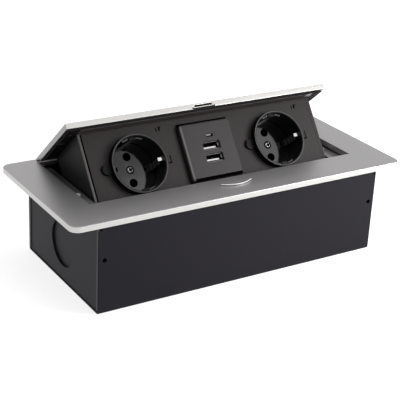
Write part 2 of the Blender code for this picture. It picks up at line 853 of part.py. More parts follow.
def torsion_path():
    """Leg into the open arm, the coil round the shaft, and the leg into the bracket."""
    low_x = cradle_half_width + 3 * fit_gap + spring_wire_radius
    high_x = bracket_inner_x - 2 * fit_gap - spring_wire_radius
    arm_end = (cradle_half_width - sheet / 2, pivot_y - spring_leg_length, pivot_z + spring_coil_radius)
    arm_bend = (low_x, pivot_y - spring_leg_length, pivot_z + spring_coil_radius)
    path = [arm_end, arm_bend]
    turns = spring_turns + 0.25
    for x, angle in coil_spots(low_x, high_x, turns):
        across = spring_coil_radius * math.cos(angle)
        rise = spring_coil_radius * math.sin(angle)
        path.append((x, pivot_y + across, pivot_z + rise))
    hook_y, hook_z = fixed_hook()
    path.append((high_x, hook_y, hook_z))
    path.append((bracket_inner_x + bracket_sheet / 2, hook_y, hook_z))
    return path


def coil_spots(low_x, high_x, turns):
    """Places along the coil, from straight above the shaft round to its rear."""
    steps = round(10 * turns)
    spots = []
    for k in range(steps + 1):
        share = k / steps
        angle = math.pi / 2 - 2 * math.pi * turns * share
        spots.append((low_x + (high_x - low_x) * share, angle))
    return spots


def make_socket(x, hand, parent):
    """One earthed socket: body, grey face, shutter, carrier, contacts, earth strap and cover."""
    place = about_pivot(panel_matrix(x, socket_down))
    ring_front = -sheet - fit_gap
    seat_top = core_back - fit_gap
    lip = recess_radius - core_seat_lip
    profile = [
        (recess_radius, collar_proud),
        (collar_radius, collar_proud),
        (collar_radius, ring_front),
        (mount_ring_radius, ring_front),
        (mount_ring_radius, ring_front - mount_ring_thickness),
        (collar_radius, ring_front - mount_ring_thickness),
        (collar_radius, body_back),
        (recess_radius, body_back),
        (recess_radius, carrier_front + fit_gap),
        (lip, carrier_front + fit_gap),
        (lip, seat_top),
        (recess_radius, seat_top),
    ]
    body = make_object(f"socket_body_{hand}", turned(profile, 36), "socket_black", place, parent)
    wall = collar_radius - recess_radius
    ear = disc(ear_radius, ring_front - wall, ear_proud, 16, (-collar_radius - ear_centre_out, 0.0))
    join(body, ear, place)
    strap_slot = strap_half_width + fit_gap
    notch_reach = recess_radius + wall / 4
    cut(body, block(-notch_reach, notch_reach, -strap_slot, strap_slot, carrier_front, core_back), place)
    for up in (-1, 1):
        near, far = sorted((up * (recess_radius - guide_rib_height), up * (recess_radius + wall / 2)))
        half = guide_rib_half_width
        rib = block(-half, half, near, far, recess_floor + fit_gap, collar_proud / 2)
        join(body, rib, place)

    face = disc(recess_radius - fit_gap, core_back, recess_floor, 36)
    core = make_object(f"socket_face_{hand}", face, "core_grey", place, parent)
    slot_x = strap_radius - strap_thickness - fit_gap
    for side in (-1, 1):
        near, far = sorted((side * slot_x, side * 2 * recess_radius))
        cut(core, block(near, far, -strap_slot, strap_slot, core_back - sheet, recess_floor + sheet), place)
        cut(
            core,
            disc(pin_hole_radius, core_back - sheet, recess_floor + sheet, 16, (0.0, side * pin_spacing / 2)),
            place,
        )
    shank = centre_screw_radius * 0.6
    cut(core, disc(shank + fit_gap, core_back - sheet, recess_floor + sheet, 12), place)
    seat = recess_floor - core_thickness / 2
    cut(core, disc(screw_seat_radius, seat, recess_floor + sheet, 20), place)

    shutter = make_object(
        f"shutter_{hand}",
        block(
            -shutter_half_width,
            shutter_half_width,
            -shutter_half_length,
            shutter_half_length,
            shutter_front - shutter_thickness,
            shutter_front,
        ),
        "plastic_black",
        place,
        parent,
    )
    slot_half = shank + fit_gap
    slot_end = shutter_half_width + sheet
    cut(shutter, block(-slot_half, slot_end, -slot_half, slot_half, carrier_front, core_back), place)

    carrier = make_object(
        f"contact_carrier_{hand}",
        disc(recess_radius - fit_gap, carrier_back, carrier_front, 24),
        "plastic_black",
        place,
        parent,
    )
    screw_tip = carrier_front - (carrier_front - carrier_back) / 2
    cut(carrier, disc(shank + fit_gap, screw_tip - fit_gap, core_back, 12), place)
    for side, pole in ((-1, "lower"), (1, "upper")):
        near, far = sorted((side * slot_x, side * 2 * recess_radius))
        cut(carrier, block(near, far, -strap_slot, strap_slot, body_back, core_back), place)
        up = side * pin_spacing / 2
        cut(carrier, disc(carrier_bore_radius, body_back, core_back, 16, (0.0, up)), place)
        make_contact(f"contact_clip_{pole}_{hand}", up, place, parent)

    screw_profile = [
        (0.0, screw_tip),
        (shank, screw_tip),
        (shank, seat + fit_gap),
        (centre_screw_radius, seat + fit_gap),
        (centre_screw_radius, recess_floor + core_thickness / 6),
        (centre_screw_radius * 0.8, recess_floor + core_thickness / 3),
        (0.0, recess_floor + core_thickness / 3),
    ]
    screw = make_object(f"centre_screw_{hand}", turned(screw_profile, 16), "bright_steel", place, parent)
    across = centre_screw_radius / 6
    low = recess_floor - core_thickness / 8
    high = recess_floor + core_thickness
    cut(screw, block(-across, across, -drive_reach, drive_reach, low, high), place)
    cut(screw, block(-drive_reach, drive_reach, -across, across, low, high), place)
    make_earth_strap(f"earth_strap_{hand}", place, parent)

    cover_top = body_back - fit_gap
    lid = disc(collar_radius, cover_top - cover_thickness, cover_top, 24)
    cover = make_object(f"socket_cover_{hand}", lid, "plastic_black", place, parent)
    wire_hole = rounded_rectangle(pin_spacing, pin_spacing / 3, pin_spacing / 6, 3, (0.0, -collar_radius / 2))
    cut(cover, prism(wire_hole, cover_top - 2 * cover_thickness, cover_top + cover_thickness), place)


def shutter_travel():
    return pin_hole_radius + shutter_half_width


def make_contact(name, up, place, parent):
    """A split brass sleeve with a solder tail."""
    top = carrier_front - fit_gap
    low = top - clip_tube_length
    floor = low + 2 * clip_tube_wall
    inner = clip_tube_radius - clip_tube_wall
    profile = [
        (0.0, low),
        (clip_tube_radius, low),
        (clip_tube_radius, top),
        (inner, top),
        (inner, floor),
        (0.0, floor),
    ]
    at = place @ Matrix.Translation((0.0, up, 0.0))
    clip = make_object(name, turned(profile, 12), "brass", at, parent)
    split = clip_tube_wall
    reach = 2 * clip_tube_radius
    cut(clip, block(-split, split, -reach, reach, floor + split, top + split), at)


def make_earth_strap(name, place, parent):
    """One brass strip, from spring tip to spring tip behind the carrier."""
    tip = recess_floor + strap_tip_height
    knee = tip - strap_tip_height / 3
    inward = strap_radius - 2 * strap_thickness
    right = [
        (strap_radius, strap_back),
        (strap_radius, knee - strap_tip_height / 3),
        (inward, knee),
        (strap_radius - strap_thickness, tip),
    ]
    path = [(-x, w) for x, w in reversed(right)] + right
    outline = strip_outline(path, strap_thickness)
    body = prism(outline, -strap_half_width, strap_half_width, "y")
    make_object(name, body, "bright_steel", place, parent)


def port_shell(name, outer, inner, x, down, parent):
    """A drawn steel port shell, closed at its back."""
    place = about_pivot(panel_matrix(x, down))
    front = plate_front - port_set_back
    shell = make_object(name, prism(outer, port_back, front), "dark_nickel", place, parent)
    cut(shell, prism(inner, port_back + port_wall, front + port_wall), place)
    return place


def make_module(parent):
    """The USB module: face plate, box behind the panel, ports, tongues and circuit board."""
    place = about_pivot(panel_matrix(0.0, module_down))
    corner = 2 * module_edge
    bm = prism(rounded_rectangle(module_width, module_height, corner, 3), plate_back, plate_front)
    rim = [edge for edge in bm.edges if all(abs(vert.co.z - plate_front) < 1e-6 for vert in edge.verts)]
    bmesh.ops.bevel(bm, geom=rim, offset=module_edge, segments=2, profile=0.5, affect="EDGES")
    plate = make_object("usb_face_plate", bm, "module_black", place, parent)

    box_width = module_width - 2 * module_box_inset
    box_height = module_height - 2 * module_box_inset
    box_front = plate_back - fit_gap
    outer = rounded_rectangle(box_width, box_height, corner, 2)
    body = prism(outer, module_box_back, box_front)
    housing = make_object("usb_housing", body, "plastic_black", place, parent)
    rim_outline = rounded_rectangle(module_width + 2 * module_rim, module_height + 2 * module_rim, corner, 2)
    join(housing, prism(rim_outline, rim_front - module_box_wall, rim_front), place)
    walls = 2 * module_box_wall
    inner = rounded_rectangle(box_width - walls, box_height - walls, module_edge, 2)
    cut(housing, prism(inner, module_box_back + module_box_wall, box_front + sheet), place)

    board_front = port_back - fit_gap
    board = make_object(
        "circuit_board",
        block(
            module_box_wall + fit_gap - box_width / 2,
            box_width / 2 - module_box_wall - fit_gap,
            module_box_wall + fit_gap - box_height / 2,
            box_height / 2 - module_box_wall - fit_gap,
            board_front - board_thickness,
            board_front,
        ),
        "board_green",
        place,
        parent,
    )
    hole = module_box_wall
    hole_back = port_back - 3 * board_thickness
    for side in (-1, 1):
        hole_x = side * (box_width / 2 - 4 * hole)
        cut(board, disc(hole, hole_back, port_back, 10, (hole_x, 0.0)), place)

    for number, down in enumerate(usb_a_downs, 1):
        shell_outline = rounded_rectangle(usb_a_width, usb_a_height, port_wall * 2, 1)
        bore = rounded_rectangle(usb_a_width - 2 * port_wall, usb_a_height - 2 * port_wall, port_wall, 1)
        at = port_shell(f"usb_a_shell_{number}", shell_outline, bore, usb_a_x, down, parent)
        opening = rounded_rectangle(usb_a_width + 2 * fit_gap, usb_a_height + 2 * fit_gap, port_wall * 2, 1)
        cut(plate, prism(opening, plate_back - sheet, plate_front + sheet), at)
        low = -usb_a_height / 2 + port_wall + fit_gap
        side = usb_a_width / 2 - port_wall - 2 * fit_gap
        tongue = block(
            -side,
            side,
            low,
            low + usb_a_tongue_thickness,
            port_back + port_wall + fit_gap,
            plate_front - tongue_set_back,
        )
        make_object(f"usb_a_tongue_{number}", tongue, "plastic_white", at, parent)

    round_outer = rounded_rectangle(usb_c_width, usb_c_height, usb_c_height / 2.05, 5)
    bore_height = usb_c_height - 2 * port_wall
    round_inner = rounded_rectangle(usb_c_width - 2 * port_wall, bore_height, bore_height / 2.05, 5)
    at = port_shell("usb_c_shell", round_outer, round_inner, usb_c_x, usb_c_down, parent)
    opening_height = usb_c_height + 2 * fit_gap
    opening = rounded_rectangle(usb_c_width + 2 * fit_gap, opening_height, opening_height / 2.05, 5)
    cut(plate, prism(opening, plate_back - sheet, plate_front + sheet), at)
    side = usb_c_width / 2 - usb_c_height / 2
    thin = usb_c_tongue_thickness / 2
    tongue = block(-side, side, -thin, thin, port_back + port_wall + fit_gap, plate_front - tongue_set_back)
    make_object("usb_c_tongue", tongue, "plastic_black", at, parent)


def make_latch():
    """Push button, sliding bolt, their springs and the open box that guides them."""
    outline = d_outline(-fit_gap)
    body = prism(outline, frame_under - button_travel, frame_top + button_proud)
    button = make_object("latch_button", body, "frame_aluminium")
    flange_high = frame_under - fit_gap
    flange_low = flange_high - button_flange_thickness
    join(button, prism(d_outline(button_flange), flange_low, flange_high))
    leg_rear = button_chord_y + leg_depth / 4
    leg_front = leg_rear - leg_depth
    slant_top = bolt_top + fit_gap
    slant_low = slant_top - leg_depth
    leg = [
        (leg_front, slant_top),
        (leg_rear, slant_low),
        (leg_rear, flange_low + fit_gap),
        (leg_front, flange_low + fit_gap),
    ]
    join(button, prism(leg, -leg_half_width, leg_half_width, "x"))

    face_gap = fit_gap * math.sqrt(2)
    window_half = leg_half_width + fit_gap
    bolt_tail_y = leg_front - 2 * bolt_sheet
    tongue_tip_y = lid_front_y + tongue_reach
    tongue_chamfer = tongue_thickness / 2
    plate = block(-bolt_half_width, bolt_half_width, bolt_tail_y, riser_y, bolt_under, bolt_top)
    bolt = make_object("latch_bolt", plate, "zinc_steel")
    riser = block(
        -bolt_half_width,
        bolt_half_width,
        riser_y - bolt_sheet / 2,
        riser_y + bolt_sheet / 2,
        bolt_under + bolt_sheet / 4,
        tongue_top - tongue_thickness / 4,
    )
    join(bolt, riser)
    nose_half = slit_half_width - 3 * fit_gap
    nose = [
        (-nose_half, riser_y),
        (nose_half, riser_y),
        (nose_half, tongue_tip_y - tongue_chamfer),
        (nose_half - tongue_chamfer, tongue_tip_y),
        (tongue_chamfer - nose_half, tongue_tip_y),
        (-nose_half, tongue_tip_y - tongue_chamfer),
    ]
    join(bolt, prism(nose, tongue_under, tongue_top))
    window_end = leg_rear + button_travel + fit_gap
    face_top = leg_front - face_gap
    window = [
        (face_top - bolt_sheet, slant_top + bolt_sheet),
        (face_top + slant_top - bolt_under + bolt_sheet, bolt_under - bolt_sheet),
        (window_end, bolt_under - bolt_sheet),
        (window_end, slant_top + bolt_sheet),
    ]
    cut(bolt, prism(window, -window_half, window_half, "x"))

    wall = latch_box_wall
    half = latch_box_half_length
    floor = latch_floor
    box = make_object(
        "latch_housing",
        block(-half, half, latch_box_front_y, latch_box_rear_y, floor - wall, wall_top),
        "plastic_black",
    )
    cut(box, block(wall - half, half - wall, latch_front, latch_box_rear_y - wall, floor, frame_top))
    rail_top = bolt_under - fit_gap
    for side in (-1, 1):
        rail_outer = bolt_half_width - wall / 2
        rail_low, rail_high = sorted((side * (bolt_half_width - 2 * wall), side * rail_outer))
        rail_rear = latch_box_rear_y - wall / 2
        join(box, block(rail_low, rail_high, latch_front - wall / 2, rail_rear, floor - wall / 2, rail_top))

    turns = 4
    middle_y = button_chord_y - latch_spring_radius / 2
    length = flange_low - floor - 2 * fit_gap - 2 * latch_spring_wire
    for side, hand in ((-1, "left"), (1, "right")):
        base = Matrix.Translation((side * button_spring_x, middle_y, floor + fit_gap + latch_spring_wire))
        wire = tube(helix(latch_spring_radius, length, turns, 0.0, 8), latch_spring_wire, 5)
        make_object(f"button_spring_{hand}", wire, "spring_steel", base)
    room = bolt_tail_y - latch_front - 2 * fit_gap - 2 * latch_spring_wire
    start = latch_front + fit_gap + latch_spring_wire
    middle_z = (rail_top + bolt_top) / 2 + latch_spring_radius / 2
    turn = Matrix.Translation((0.0, start, middle_z)) @ Matrix.Rotation(-math.pi / 2, 4, "X")
    wire = tube(helix(latch_spring_radius, room, turns, 0.0, 8), latch_spring_wire, 5)
    make_object("bolt_spring", wire, "spring_steel", turn)


def make_terminal_block():
    """Screw terminals on the floor of the box, where the supply is joined."""
    low = sheet + fit_gap
    half = terminal_length / 2
    deep = terminal_width / 2
    step = terminal_height / 3
    screw_depth = terminal_height / 2
    narrow = deep / 2
    profile = [
        (terminal_y - deep, low),
        (terminal_y + deep, low),
        (terminal_y + deep, low + step),
        (terminal_y + narrow, low + step),
        (terminal_y + narrow, low + terminal_height),
        (terminal_y - narrow, low + terminal_height),
        (terminal_y - narrow, low + step),
        (terminal_y - deep, low + step),
    ]
    body = prism(profile, terminal_x - half, terminal_x + half, "x")
    terminals = make_object("terminal_block", body, "plastic_white")
    pitch = terminal_length / terminal_ways
    for k in range(terminal_ways):
        x = terminal_x - half + pitch / 2 + pitch * k
        well = disc(pitch / 4, low + screw_depth, low + 2 * terminal_height, 10, (x, terminal_y))
        cut(terminals, well)
        front = terminal_y - terminal_width
        way = disc(pitch / 5, front, terminal_y + terminal_width, 10, (x, low + step * 3 / 2), "y")
        cut(terminals, way)


def main():
    clear_scene()
    make_frame()
    make_frame_screws()
    make_housing_shell()
    make_end_plates()
    make_latch()
    make_terminal_block()
    cradle = bpy.data.objects.new("cradle_axis", None)
    bpy.context.collection.objects.link(cradle)
    cradle.location = (0.0, pivot_y, pivot_z)
    cradle.rotation_euler = (-open_tilt, 0.0, 0.0)
    make_hinge(cradle)
    make_cradle_shell(cradle)
    make_lid_flange(cradle)
    make_back_cover(cradle)
    make_lid(cradle)
    make_socket(-socket_x, "left", cradle)
    make_socket(socket_x, "right", cradle)
    make_module(cradle)


main()
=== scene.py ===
"""The looks of the desk power outlet: satin silver frame and lid, black powder coated box and cradle,
moulded sockets and a USB module, seen from the front left as in the photograph.

Every solid is carried over as a copy with softened edges and its own finish. The small things that the
solids leave out are modelled here: rims, wells, contacts, marks and fittings, many as painted highlight
and shade.
"""

import json
import math

import bpy
from mathutils import Matrix, Vector


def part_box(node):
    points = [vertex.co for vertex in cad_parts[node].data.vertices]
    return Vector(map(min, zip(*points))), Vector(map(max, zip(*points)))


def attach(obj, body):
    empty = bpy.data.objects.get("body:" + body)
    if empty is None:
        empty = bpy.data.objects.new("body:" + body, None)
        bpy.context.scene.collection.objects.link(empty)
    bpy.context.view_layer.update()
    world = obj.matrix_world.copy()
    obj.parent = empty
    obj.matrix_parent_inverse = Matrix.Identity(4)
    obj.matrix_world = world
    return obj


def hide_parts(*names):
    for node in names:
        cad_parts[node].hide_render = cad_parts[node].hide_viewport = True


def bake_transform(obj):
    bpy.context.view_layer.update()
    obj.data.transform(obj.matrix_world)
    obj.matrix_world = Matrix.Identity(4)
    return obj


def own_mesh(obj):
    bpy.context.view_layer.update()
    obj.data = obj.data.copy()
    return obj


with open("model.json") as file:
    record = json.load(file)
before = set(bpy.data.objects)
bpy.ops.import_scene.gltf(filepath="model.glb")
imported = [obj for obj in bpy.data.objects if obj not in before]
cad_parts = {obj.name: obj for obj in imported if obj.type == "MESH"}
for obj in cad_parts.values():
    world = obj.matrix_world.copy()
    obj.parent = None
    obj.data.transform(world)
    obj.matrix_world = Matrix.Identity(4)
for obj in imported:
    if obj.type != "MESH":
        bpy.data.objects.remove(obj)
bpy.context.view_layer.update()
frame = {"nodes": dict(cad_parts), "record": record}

ops = bpy.ops
MM = 0.001


def mm(*sizes):
    """A size or a place in millimetres, as the metres that Blender uses."""
    return tuple(size * MM for size in sizes)


# Where the photograph was taken from, about a point on the frame's top face
FRAME_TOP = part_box("frame")[1].z
VIEW_AZIMUTH = math.radians(-32.6465)
VIEW_ELEVATION = math.radians(23.6508)
VIEW_ROLL = math.radians(2.8688)
VIEW_DISTANCE = 816.87 * MM
VIEW_SHIFT_RIGHT = -2.89 * MM
VIEW_SHIFT_UP = -26.534 * MM
PHOTO_WIDTH = 400
FOCAL_IN_PIXELS = 1141.37
SENSOR = 36.0

# The soft boxes: where each one stands, its width and height, and its power in watts
LAMP_AIM = (0.0, 0.0, 0.06)
SOFT_BOXES = {
    "right_near_soft_box": ((0.39, -0.36, 0.24), (0.28, 0.28), 2.2),
    "right_far_soft_box": ((0.85, -1.15, 0.75), (1.3, 0.9), 4.0),
    "top_soft_box": ((0.1, 0.1, 1.5), (1.2, 0.9), 3.0),
}

# The white room and its floor
WHITE = (1.0, 1.0, 1.0, 1.0)
ROOM_LIGHT = (0.97, 0.98, 1.0, 1.0)
ROOM_STRENGTH = 0.24
BACKDROP_RAYS = ("Is Camera Ray", "Is Glossy Ray", "Is Transmission Ray")
FLOOR_WIDTH = 12.0
FLOOR_Z = -0.2 * MM
FLOOR_GREY = (0.80, 0.80, 0.80, 1.0)
FLOOR_ROUGHNESS = 0.9
FLOOR_GLOW = 0.78

# The hands of what comes in pairs, and the side of the middle on which each one lies
SIDES = {"left": -1, "right": 1}

# Softened edges of the small pieces, and the facets of the small rings
MARK_EDGE = 0.03 * MM
LEAF_EDGE = 0.04 * MM
LINER_EDGE = 0.05 * MM
STRIP_EDGE = 0.08 * MM
RIM_EDGE = 0.1 * MM
SLOT_EDGE = 0.12 * MM
FOLD_EDGE = 0.15 * MM
STEP_EDGE = 0.2 * MM
SMALL_RING_SIDES = 32

# The raised panel: its top front edge, and how far it leans from level
PANEL_EDGE_Y = 13.33 * MM
PANEL_EDGE_Z = 101.34 * MM
PANEL_TURN = math.radians(53.9)
OPEN_TILT = math.radians(41.3)
PIVOT_Y = 47.3 * MM
PIVOT_Z = 40.15 * MM

# A socket's places are to the right, up the panel and out of it, from its middle on the panel's face
SOCKET_X = 58 * MM
SOCKET_DOWN = 29 * MM
COLLAR_OUT = 4.7 * MM
COLLAR_RADIUS = 21 * MM
RECESS_RADIUS = 19.6 * MM
RECESS_FLOOR_OUT = -12.8 * MM
PIN_UP = 9.5 * MM
SCREW_TOP_OUT = -12.28 * MM

LIP_FROM_RECESS = 0.45 * MM
LIP_FROM_COLLAR_EDGE = 0.1 * MM
LIP_SUNK = 0.2 * MM
LIP_PROUD = 0.25 * MM
LIP_SIDES = 72
RIM_STEP_SIZE = mm(5.2, 1.2, 1.0)
RIM_STEP_RADIUS = 18.7 * MM
RIM_STEP_OUT = 1.6 * MM
RIM_STEP_FROM_UPRIGHT = 17.0             # degrees

WELL_RADII = mm(2.35, 3.05)
WELL_SUNK = 0.1 * MM
WELL_PROUD = 0.25 * MM
SEAT_RADII = mm(2.15, 3.0)
SEAT_SUNK = 0.4 * MM
SEAT_PROUD = 0.12 * MM
FLOOR_SLOT_SIZE = mm(1.4, 3.0, 0.3)
FLOOR_SLOT_PLACES = (mm(-9.9, 2.0), mm(11.5, -1.4))
CROSS_SLOT_SIZE = mm(3.2, 1.2, 0.5)
CROSS_TURNS = (20, 110)                  # degrees
EARTH_TIP_SIZE = mm(3.0, 2.6, 0.5)
EARTH_TIP_PLACE = mm(18.0, 1.3, -0.2)
EARTH_TIP_LEAN = -0.25                   # radians

EAR_CAP_SIZE = mm(6.2, 6.2, 0.12)
EAR_CAP_MIDDLE = mm(-23.0, 0.5, 1.61)
EAR_CAP_ROUNDING = 2.9 * MM

# The slots pressed in the panel beside a collar, in painted shade: each one's size and middle
MARK_THICK = 0.14 * MM
PANEL_MARKS = (
    ((*mm(0.8, 5.2), MARK_THICK), mm(26.4, 0.4, 0.0)),
    ((*mm(3.1, 0.9), MARK_THICK), mm(25.6, -2.4, 0.0)),
    ((*mm(0.7, 2.8), MARK_THICK), mm(21.2, 22.2, 0.0)),
    ((*mm(1.3, 3.0), MARK_THICK), mm(23.6, 22.6, 0.0)),
    ((*mm(1.8, 0.8), MARK_THICK), mm(24.3, 23.8, 0.0)),
)

# The USB module, in the same axes as a socket, and each port's middle: to the right and down the panel
MODULE_DOWN = 28.3 * MM
MODULE_HALF = 21.0 * MM
MODULE_FACE_OUT = 3.4 * MM
USB_A_PLACES = (mm(1.5, 25), mm(1.5, 34))
USB_C_PLACE = mm(1.8, 17.7)

# In a flat port: the contact strips, the painted shade's size and middle, the fingers' middle and turn
CONTACTS = 4
CONTACT_SIZE = mm(1.1, 0.14, 6.0)
CONTACT_PITCH = 2.3 * MM
CONTACT_UP = -0.29 * MM
CONTACT_OUT = -6.5 * MM
PORT_SHADES = (
    (mm(11.8, 0.6, 0.16), mm(0.0, -1.9, -2.75)),
    (mm(1.5, 2.0, 0.16), mm(5.15, -1.2, -2.75)),
)
FINGER_SIZE = mm(0.3, 2.4, 1.2)
FINGER_PLACES = ((mm(-6.2, 0.4, -4.5), -0.05), (mm(6.2, 0.4, -2.7), 0.05))

# In the rounded port: its plates, and the bezel that is split down the middle and drawn apart
USB_C_PLATE_SIZE = mm(4.2, 1.3, 6.0)
USB_C_PLATE_MIDDLE = mm(-0.55, 0.6, -3.4)
BEZEL_RADII = mm(1.3, 2.95)
BEZEL_SUNK = -0.3 * MM
BEZEL_PROUD = 0.04 * MM
BEZEL_SPLIT = 0.1 * MM
BEZEL_HALF_STRAIGHT = 1.8 * MM
BEZEL_PLACE = mm(-0.15, 0.2, 0.0)

# The lines round the module: each one's size, middle and rounding
MODULE_SHADOWS = (
    ((*mm(42.0, 1.5), MARK_THICK), (0.0, MODULE_HALF + 0.95 * MM, 0.0), MARK_EDGE),
    (mm(0.5, 42.0, 0.1), (MODULE_HALF + 0.4 * MM, 0.0, 0.0), MARK_EDGE),
    (mm(40.6, 2.0, 0.2), (0.0, 1.3 * MM - MODULE_HALF, MODULE_FACE_OUT), LINER_EDGE),
)
MODULE_BEVEL_SIZE = mm(1.5, 40.0, 0.2)
MODULE_BEVEL_MIDDLE = (1.5 * MM - MODULE_HALF, 0.0, MODULE_FACE_OUT)

# The front edges of the cradle's walls: width, how far each stands proud, its rounding and its finish; the
# left one's lighter black is painted highlight
WALL_OUTSIDE = 96.3 * MM
WALL_EDGE_LONG = 53.0 * MM
WALL_EDGE_MIDDLE = mm(0.0, -26.6, 0.0)
WALL_EDGES = {
    # Painted highlight: the left edge's lighter black
    "left": (mm(1.7, 0.45, 0.3), "edge_black"),
    "right": (mm(2.6, 0.1, 0.05), "panel_black"),
}
WALL_GROOVE_X = -93.9 * MM
WALL_GROOVE_SIZE = mm(1.2, 51.0, 0.1)
WALL_GROOVE_MIDDLE = mm(0.0, -27.2, 0.0)

# Trims on the box and the frame, with the right one's place where there is one on each side: painted light
# on the ledges, painted highlights on the corners and the rear rim
# The ledges' grey sheets are painted light, the right one paler
LINER_SIZE = mm(9.6, 78.0, 0.14)
LINER_MIDDLE = mm(102.3, 11.0, 62.47)
LEDGE_PAINTED_LIGHTS = {"left": "ledge_painted_light_dim", "right": "ledge_painted_light_bright"}
KERB_SIZE = mm(0.3, 78.0, 1.5)
KERB_MIDDLE = mm(107.35, 11.0, 63.2)
CORNER_SIZE = mm(0.6, 2.9, 60.0)
CORNER_MIDDLES = {"front": mm(112.7, -53.0, 32.0), "rear": mm(112.7, 54.0, 32.0)}
REAR_RIM_SIZE = mm(213.0, 0.25, 0.8)
REAR_RIM_MIDDLE = mm(0.0, 52.35, 67.6)

# Trims under the lid's front edge, placed as the cradle stands when it is shut: a strip and a tab in
# painted light, and the slit's mouth in painted shade
HEAD_STRIP_SIZE = mm(192.6, 7.8, 0.5)
HEAD_STRIP_MIDDLE = mm(0.0, -22.4, 62.42)
HEAD_TAB_SIZE = mm(5.0, 4.0, 0.1)
HEAD_TAB_MIDDLE = mm(92.6, -25.2, 62.13)
SLIT_MOUTH_SIZE = mm(14.6, 0.1, 1.5)
SLIT_MOUTH_MIDDLE = mm(0.0, -26.3, 66.3)

# The push button's arc, a painted highlight on the upper edge of its curved front
BUTTON_CHORD_Y = -39.1 * MM
BUTTON_TOP = 69.2 * MM
BUTTON_ARC_RADIUS = 21.0 * MM
BUTTON_ARC_Y = -22.8 * MM
BUTTON_ARC_INSIDE = 0.12 * MM
BUTTON_ARC_OUTSIDE = 0.08 * MM
BUTTON_ARC_HEIGHT = 0.45 * MM
BUTTON_ARC_DOWN = 0.48 * MM
BUTTON_ARC_CUT = 0.7 * MM
BUTTON_ARC_SIDES = 120

# Softened edges of the solids. Two faces meet sharply past the first turn, or past the second one
# where the edge between them has been rounded
FINE_EDGE = 0.12 * MM
SHEET_EDGE = 0.18 * MM
PLATE_EDGE = 0.35 * MM
SHARP_TURN = math.radians(32.0)
SMOOTH_TURN = math.radians(50.0)
DOUBLES_APART = 0.002 * MM
SOFT_EDGES = {
    "frame": FINE_EDGE,
    "lid_plate": PLATE_EDGE,
    "housing_shell": SHEET_EDGE,
    "end_plate_left": SHEET_EDGE,
    "end_plate_right": SHEET_EDGE,
    "cradle_shell": SHEET_EDGE,
    "lid_flange": SHEET_EDGE,
    "cradle_back_cover": SHEET_EDGE,
    "latch_button": SHEET_EDGE,
    "usb_face_plate": FINE_EDGE,
    "socket_body_left": FINE_EDGE,
    "socket_body_right": FINE_EDGE,
    "socket_face_left": FINE_EDGE,
    "socket_face_right": FINE_EDGE,
    "centre_screw_left": FINE_EDGE,
    "centre_screw_right": FINE_EDGE,
    "lid_striker": FINE_EDGE,
    "usb_a_tongue_1": FINE_EDGE,
    "usb_a_tongue_2": FINE_EDGE,
}

# Solids whose surface differs from the rest of their slot
OWN_FINISHES = {
    "lid_flange": "flange_black",
    "centre_screw_left": "screw_steel",
    "centre_screw_right": "screw_steel",
    "earth_strap_left": "strap_steel",
    "earth_strap_right": "strap_steel",
    "lid_striker": "striker_steel",
    "latch_button": "button_silver",
    "stop_pad_left": "pad_white",
    "stop_pad_right": "pad_white",
    "shutter_left": "painted_shade_black",
    "shutter_right": "painted_shade_black",
}

# How squarely a face looks in a direction, from 0 to 1, where its colour changes
CUT_EDGE_BELOW = 0.55                    # along the plate's own up
SIDEWAYS_ABOVE = 0.8                     # to the left or right


class Value:
    """A socket that can be used in arithmetic. Every operation adds a Math node."""

    def __init__(self, wiring, socket):
        self.wiring = wiring
        self.socket = socket

    def __add__(self, other):
        return self.wiring.math("ADD", self, other)

    def __radd__(self, other):
        return self.wiring.math("ADD", other, self)

    def __sub__(self, other):
        return self.wiring.math("SUBTRACT", self, other)

    def __rsub__(self, other):
        return self.wiring.math("SUBTRACT", other, self)

    def __mul__(self, other):
        return self.wiring.math("MULTIPLY", self, other)

    def __rmul__(self, other):
        return self.wiring.math("MULTIPLY", other, self)

    def __lt__(self, other):
        return self.wiring.math("LESS_THAN", self, other)

    def __gt__(self, other):
        return self.wiring.math("GREATER_THAN", self, other)

    def __abs__(self):
        return self.wiring.math("ABSOLUTE", self, 0.0)


class Wiring:
    """The nodes of a material or of the world, with one method for every kind of node."""

    def __init__(self, tree):
        self.tree = tree

    def node(self, kind, settings, sockets, output=0):
        made = self.tree.nodes.new(kind)
        for name, value in settings.items():
            setattr(made, name, value)
        for name, value in sockets.items():
            self.feed(made.inputs[name], value)
        return Value(self, made.outputs[output]) if len(made.outputs) else None

    def feed(self, socket, value):
        if isinstance(value, Value):
            self.tree.links.new(value.socket, socket)
        else:
            socket.default_value = value

    def math(self, operation, first, second):
        return self.node("ShaderNodeMath", {"operation": operation}, {0: first, 1: second})


